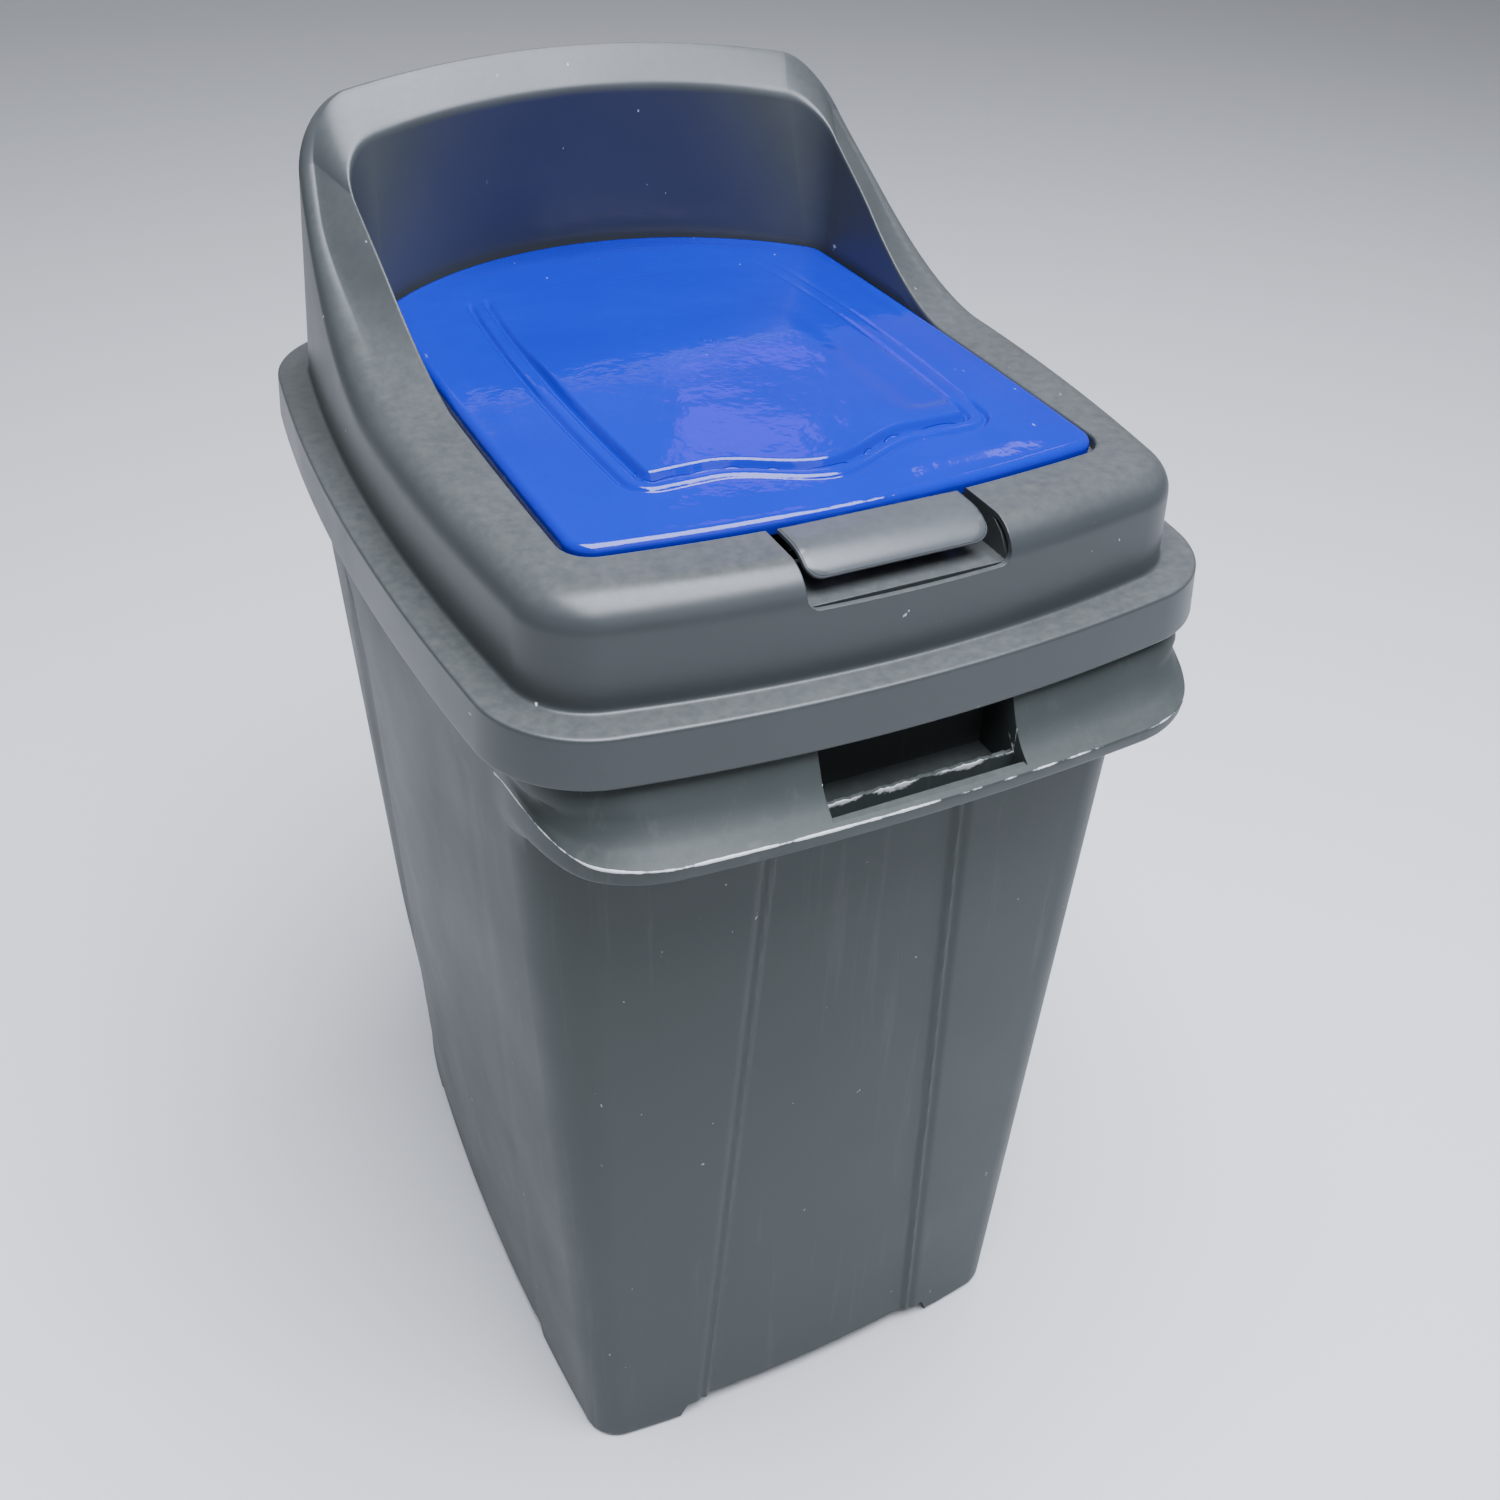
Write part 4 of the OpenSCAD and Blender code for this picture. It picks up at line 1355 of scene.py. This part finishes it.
@dataclass(frozen=True)
class Lever:
    """The catch lever: a curved finger plate with rounded corners, lugs and a leg."""

    half: float = 51.0
    thick: float = 3.0
    # The plate runs level over this length and then bends down by the sweep.
    level: float = 12.5
    radius: float = 28.0
    sweep: float = 52.0
    start_y: float = -200.5
    top: float = 722.5
    corner: float = 9.0
    soft: float = 1.2

    def length(self) -> float:
        """Length of the plate along its profile."""
        return self.level + math.radians(self.sweep) * self.radius

    def path(self, s: np.ndarray) -> tuple[np.ndarray, np.ndarray]:
        """Follows the plate's profile.

        Args:
            s: Distances along it, from the rear.

        Returns:
            The points (y, z) and the outward normals there.
        """
        turn = np.clip((s - self.level) / self.radius, 0, None)
        y = self.start_y - np.minimum(s, self.level) - self.radius * np.sin(turn)
        z = self.top - self.radius * (1 - np.cos(turn))
        return np.stack([y, z], 1), np.stack([-np.sin(turn), np.cos(turn)], 1)

    def outline(self) -> np.ndarray:
        """Draws the plate unrolled, with its front corners rounded.

        Returns:
            Points as (x, distance along the profile).
        """
        r, length = self.corner, self.length()
        turn = np.linspace(0, np.pi / 2, 12)
        right = [(self.half - r + r * math.cos(a), length - r + r * math.sin(a)) for a in turn]
        side = [(self.half, s) for s in np.linspace(0, length - r, 14)[:-1]]
        middle = [(x, length) for x in np.linspace(self.half - r, 0, 14)[1:]]
        half = np.array([*side, *right, *middle])
        back = np.array([(x, 0.0) for x in np.linspace(-self.half, self.half, 27)[1:-1]])
        return np.concatenate([half, (half * [-1, 1])[-2::-1], back])

    def ring(self, inset: float, drop: float, share: float = 1.0) -> np.ndarray:
        """Bends a smaller outline of the plate onto its profile.

        Args:
            inset: How far it is set in.
            drop: How far it lies below the outer face.
            share: How much it is shrunk towards its middle.

        Returns:
            The ring's points.
        """
        centre, span = np.array([0.0, self.length() / 2]), np.array([self.half, self.length() / 2])
        q = centre + (self.outline() - centre) * (1 - inset / span) * share
        yz, normal = self.path(q[:, 1])
        return np.column_stack([q[:, 0], yz - normal * drop])

    def plate(self) -> Solid:
        """Lofts the finger plate from the middle of its inner face to that of its outer face.

        Returns:
            The plate, with its edges rounded.
        """
        soft, turns = self.soft, np.radians(np.linspace(0, 90, 6))
        rolled = [(soft * (1 - math.sin(a)), soft * (1 - math.cos(a))) for a in turns]
        shrink = np.linspace(1, 0.02, 14)
        rings = [self.ring(soft, self.thick, k) for k in shrink[::-1]]
        rings += [self.ring(inset, self.thick - drop) for inset, drop in rolled]
        rings += [self.ring(inset, drop) for inset, drop in rolled]
        rings += [self.ring(soft, 0.0, k) for k in shrink]
        return Solid.loft(rings)

    def build(self, shop: Shop) -> None:
        """Makes the plate, and its lugs and catch leg as a second piece.

        Args:
            shop: What dresses them and hangs them on their body.
        """
        plate = self.plate().to_object("lever_plate")
        shop.hand_over(plate, Body.LEVER, Slot.LEVER, ["catch_lever"], None, 45)
        lug = Solid.bar_x(4, 37, 43, LEVER_PIN_Y, LEVER_PIN_Z, 0.4)
        web = Solid.block((37, LEVER_PIN_Y - 2.5, LEVER_PIN_Z), (43, LEVER_PIN_Y + 2.5, 720.5))
        mid = Solid.bar_x(4, -6, 6, LEVER_PIN_Y, LEVER_PIN_Z, 0.4)
        foot = [(-206, 696.2), (-205.5, 696), (-198.2, 696), (-197.8, 696.4), (-197.8, 698.5)]
        leg = Solid.plate_x([(-206, 720.5), *foot, (-202, 704), (-202, 720.5)], -6, 6)
        catch = ((lug + web).both_sides() + mid + leg).to_object("lever_catch")
        shop.hand_over(catch, Body.LEVER, Slot.LEVER, ["catch_lever"], None, 40)


# ------------------------------------------------------------------ wheels


@dataclass(frozen=True)
class Wheel:
    """A small moulded wheel with a ribbed hub and a grooved tyre."""

    radius: float = 50.0
    tyre: float = 12.0
    rib_count: int = 8

    def hub(self) -> Solid:
        """Turns the boss, web and rim in one piece.

        Returns:
            The hub without its ribs.
        """
        rim, mid = self.radius - self.tyre, WHEEL_W / 2
        profile = [(6.05, 0.02), (13.9, 0.02), (13.9, mid - 2.5), (rim - 4, mid - 2), (rim - 4, 2), (rim, 2)]
        profile += [(rim, WHEEL_W - 2), (rim - 4, WHEEL_W - 2), (rim - 4, mid + 2), (13.9, mid + 2.5)]
        profile += [(13.9, WHEEL_W - 0.02), (6.05, WHEEL_W - 0.02)]
        # Points near both ends of each stretch keep its corners tight when they are rounded.
        shares, ends = np.array([[0.0], [0.12], [0.88]]), zip(profile, profile[1:] + profile[:1])
        dense = np.concatenate([mix(np.array(a), np.array(b), shares) for a, b in ends])
        return Solid.turned(dense.tolist(), WHEEL_IN)

    def ribs(self) -> Solid:
        """Stands thin ribs round the boss on each face of the web.

        Returns:
            All the ribs.
        """
        rim, made = self.radius - self.tyre - 3, None
        for k in range(self.rib_count):
            a = math.tau * (k + 0.5) / self.rib_count
            along, across = np.array([math.cos(a), math.sin(a)]), np.array([-math.sin(a), math.cos(a)])
            for x0, x1 in ((4, WHEEL_W / 2 - 1), (WHEEL_W / 2 + 1, WHEEL_W - 4)):
                corners = [along * r + across * w for r, w in ((13, -1), (13, 1), (rim, 1), (rim, -1))]
                outline = [(AXLE_Y + c[0], AXLE_Z + c[1]) for c in corners]
                rib = Solid.plate_x(outline, WHEEL_IN + x0, WHEEL_IN + x1)
                made = rib if made is None else made + rib
        return made

    def tread(self) -> Solid:
        """Turns the tyre, with three grooves round it.

        Returns:
            The tyre.
        """
        r, inner, w = self.radius, self.radius - self.tyre, WHEEL_W
        profile = [(inner, 1), (r - 5, 1), (r - 2, 2), (r, 5)]
        for x in (w / 2 - 6, w / 2, w / 2 + 6):
            profile += [(r, x - 1.6), (r - 1.4, x - 0.9), (r - 1.4, x + 0.9), (r, x + 1.6)]
        profile += [(r, w - 5), (r - 2, w - 2), (r - 5, w - 1), (inner, w - 1)]
        return Solid.turned(profile, WHEEL_IN, 128)

    def cap(self) -> Solid:
        """The cap over the axle's end."""
        profile = [(12, 0.02), (13.8, 0.02), (13.8, 3.6), (12.6, 4.5), (0.02, 4.5), (0.02, 3), (12, 3)]
        return Solid.turned(profile, WHEEL_IN + WHEEL_W, 64)

    def build(self, shop: Shop) -> None:
        """Makes both wheels, the left one as the mirror image of the right one.

        Args:
            shop: What dresses them and hangs them on their bodies.
        """
        for side, body in (("right", Body.WHEEL_RIGHT), ("left", Body.WHEEL_LEFT)):
            parts = (
                ("hub", self.hub() + self.ribs(), Slot.DARK, f"wheel_hub_{side}"),
                ("tread", self.tread(), Slot.RUBBER, f"tyre_{side}"),
                ("cap", self.cap(), Slot.DARK, f"hub_cap_{side}"),
            )
            for name, solid, slot, node in parts:
                solid = solid.mirrored() if side == "left" else solid
                obj = solid.to_object(f"wheel_{name}_{side}")
                shop.hand_over(obj, body, slot, [node], None, 35)


# ----------------------------------------------------------- small CAD parts


def dress_cad(shop: Shop) -> None:
    """Gives the small parts that stay as CAD nodes their materials.

    Args:
        shop: What dresses them.
    """
    slots = {row["node"]: row["material_slot"] for row in frame["record"]["subparts"]}
    for name, obj in frame["nodes"].items():
        if not obj.hide_render:
            shop.dress(obj, Slot(slots[name]))
            obj.data.shade_smooth()
            obj.data.set_sharp_from_angle(angle=math.radians(35))


# ------------------------------------------------------------------- studio


@dataclass(frozen=True)
class Studio:
    """Floor, light and camera, in metres and degrees."""

    eye: tuple = (-0.36164, -0.77528, 1.08423)
    azimuth: float = -27.66
    elevation: float = 37.16
    roll: float = 2.32
    lens: float = 37.17
    floor_half: float = 14.0
    floor_front: float = -9.0
    floor_rear: float = 11.0
    curve_from: float = 5.0

    def floor(self) -> None:
        """A wide pale floor that curves up far behind the object."""
        n = 40
        x = np.linspace(-self.floor_half, self.floor_half, n)
        y = np.linspace(self.floor_front, self.floor_rear, n)
        grid = [(a, b, 0.25 * max(0.0, b - self.curve_from) ** 2) for b in y for a in x]
        corners = [j * n + i for j in range(n - 1) for i in range(n - 1)]
        faces = [(k, k + 1, k + n + 1, k + n) for k in corners]
        mesh = bpy.data.meshes.new("floor")
        mesh.from_pydata(grid, [], faces)
        mesh.shade_smooth()
        obj = bpy.data.objects.new("floor", mesh)
        bpy.context.scene.collection.objects.link(obj)
        mat = bpy.data.materials.new("floor_plain_matt")
        g = Graph(mat)
        matt = {"Base Color": linear("#e8e9ea"), "Roughness": 0.9, "Specular IOR Level": 0.1}
        g.add(Node.MATERIAL_END, {"Surface": g.add(Node.SURFACE, matt)})
        mesh.materials.append(mat)

    def lamp(
        self, name: str, at: Sequence[float], aim_z: float, size: float, power: float, tint: str
    ) -> None:
        """Hangs one soft square lamp.

        Args:
            name: Its name.
            at: Its place.
            aim_z: Height of the point over the origin that it faces.
            size: Its side.
            power: Its power in watts.
            tint: Its sRGB colour.
        """
        data = bpy.data.lights.new(name, "AREA")
        data.shape, data.size, data.energy, data.color = "SQUARE", size, power, linear(tint)[:3]
        obj = bpy.data.objects.new(name, data)
        obj.location = at
        obj.rotation_mode = "QUATERNION"
        obj.rotation_quaternion = (Vector((0, 0, aim_z)) - Vector(at)).to_track_quat("-Z", "Y")
        bpy.context.scene.collection.objects.link(obj)

    def light(self) -> None:
        """Sets a pale sky, a wide lamp overhead and weak tinted ones that the gloss reflects."""
        world = bpy.data.worlds.new("studio")
        bpy.context.scene.world = world
        g = Graph(world)
        back = g.add(Node.BACKGROUND, {"Color": linear("#eef0f4"), "Strength": 0.22})
        g.add(Node.WORLD_END, {"Surface": back})
        self.lamp("sky", (0.1, -0.6, 3.0), 0.5, 2.2, 250, "#ecf2ff")
        self.lamp("behind", (1.5, 2.8, 2.5), 0.7, 0.45, 1.5, "#7a3cff")
        self.lamp("behind_high", (2.3, 2.2, 2.9), 0.7, 0.35, 1.2, "#b8a4ff")
        self.lamp("side", (-2.6, -0.6, 1.4), 0.4, 1.6, 0.8, "#ffd9b8")
        self.lamp("front", (0.2, -2.6, 2.2), 0.7, 1.6, 7, "#f6f7ff")

    def camera(self) -> None:
        """Sets the camera above the front left corner, slightly rolled."""
        a, e, r = (math.radians(v) for v in (self.azimuth, self.elevation, self.roll))
        back = Vector((math.sin(a) * math.cos(e), -math.cos(a) * math.cos(e), math.sin(e)))
        right0 = (-back).cross(Vector((0, 0, 1))).normalized()
        up0 = right0.cross(-back)
        right = math.cos(r) * right0 + math.sin(r) * up0
        up = -math.sin(r) * right0 + math.cos(r) * up0
        data = bpy.data.cameras.new("camera")
        data.lens, data.sensor_width, data.dof.use_dof = self.lens, 36, False
        data.clip_start, data.clip_end = 0.02, 60
        obj = bpy.data.objects.new("camera", data)
        turn = Matrix((right, up, back)).transposed().to_4x4()
        obj.matrix_world = Matrix.Translation(Vector(self.eye)) @ turn
        bpy.context.scene.collection.objects.link(obj)
        bpy.context.scene.camera = obj

    def build(self) -> None:
        """Sets the stage."""
        self.floor()
        self.light()
        self.camera()


def main() -> None:
    logging.basicConfig(level=logging.INFO)
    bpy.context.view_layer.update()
    shop = Shop()
    Tub().build(shop)
    Hood().build(shop)
    FlapPanel().build(shop)
    Lever().build(shop)
    Wheel().build(shop)
    dress_cad(shop)
    Studio().build()


if __name__ == "__main__":
    main()
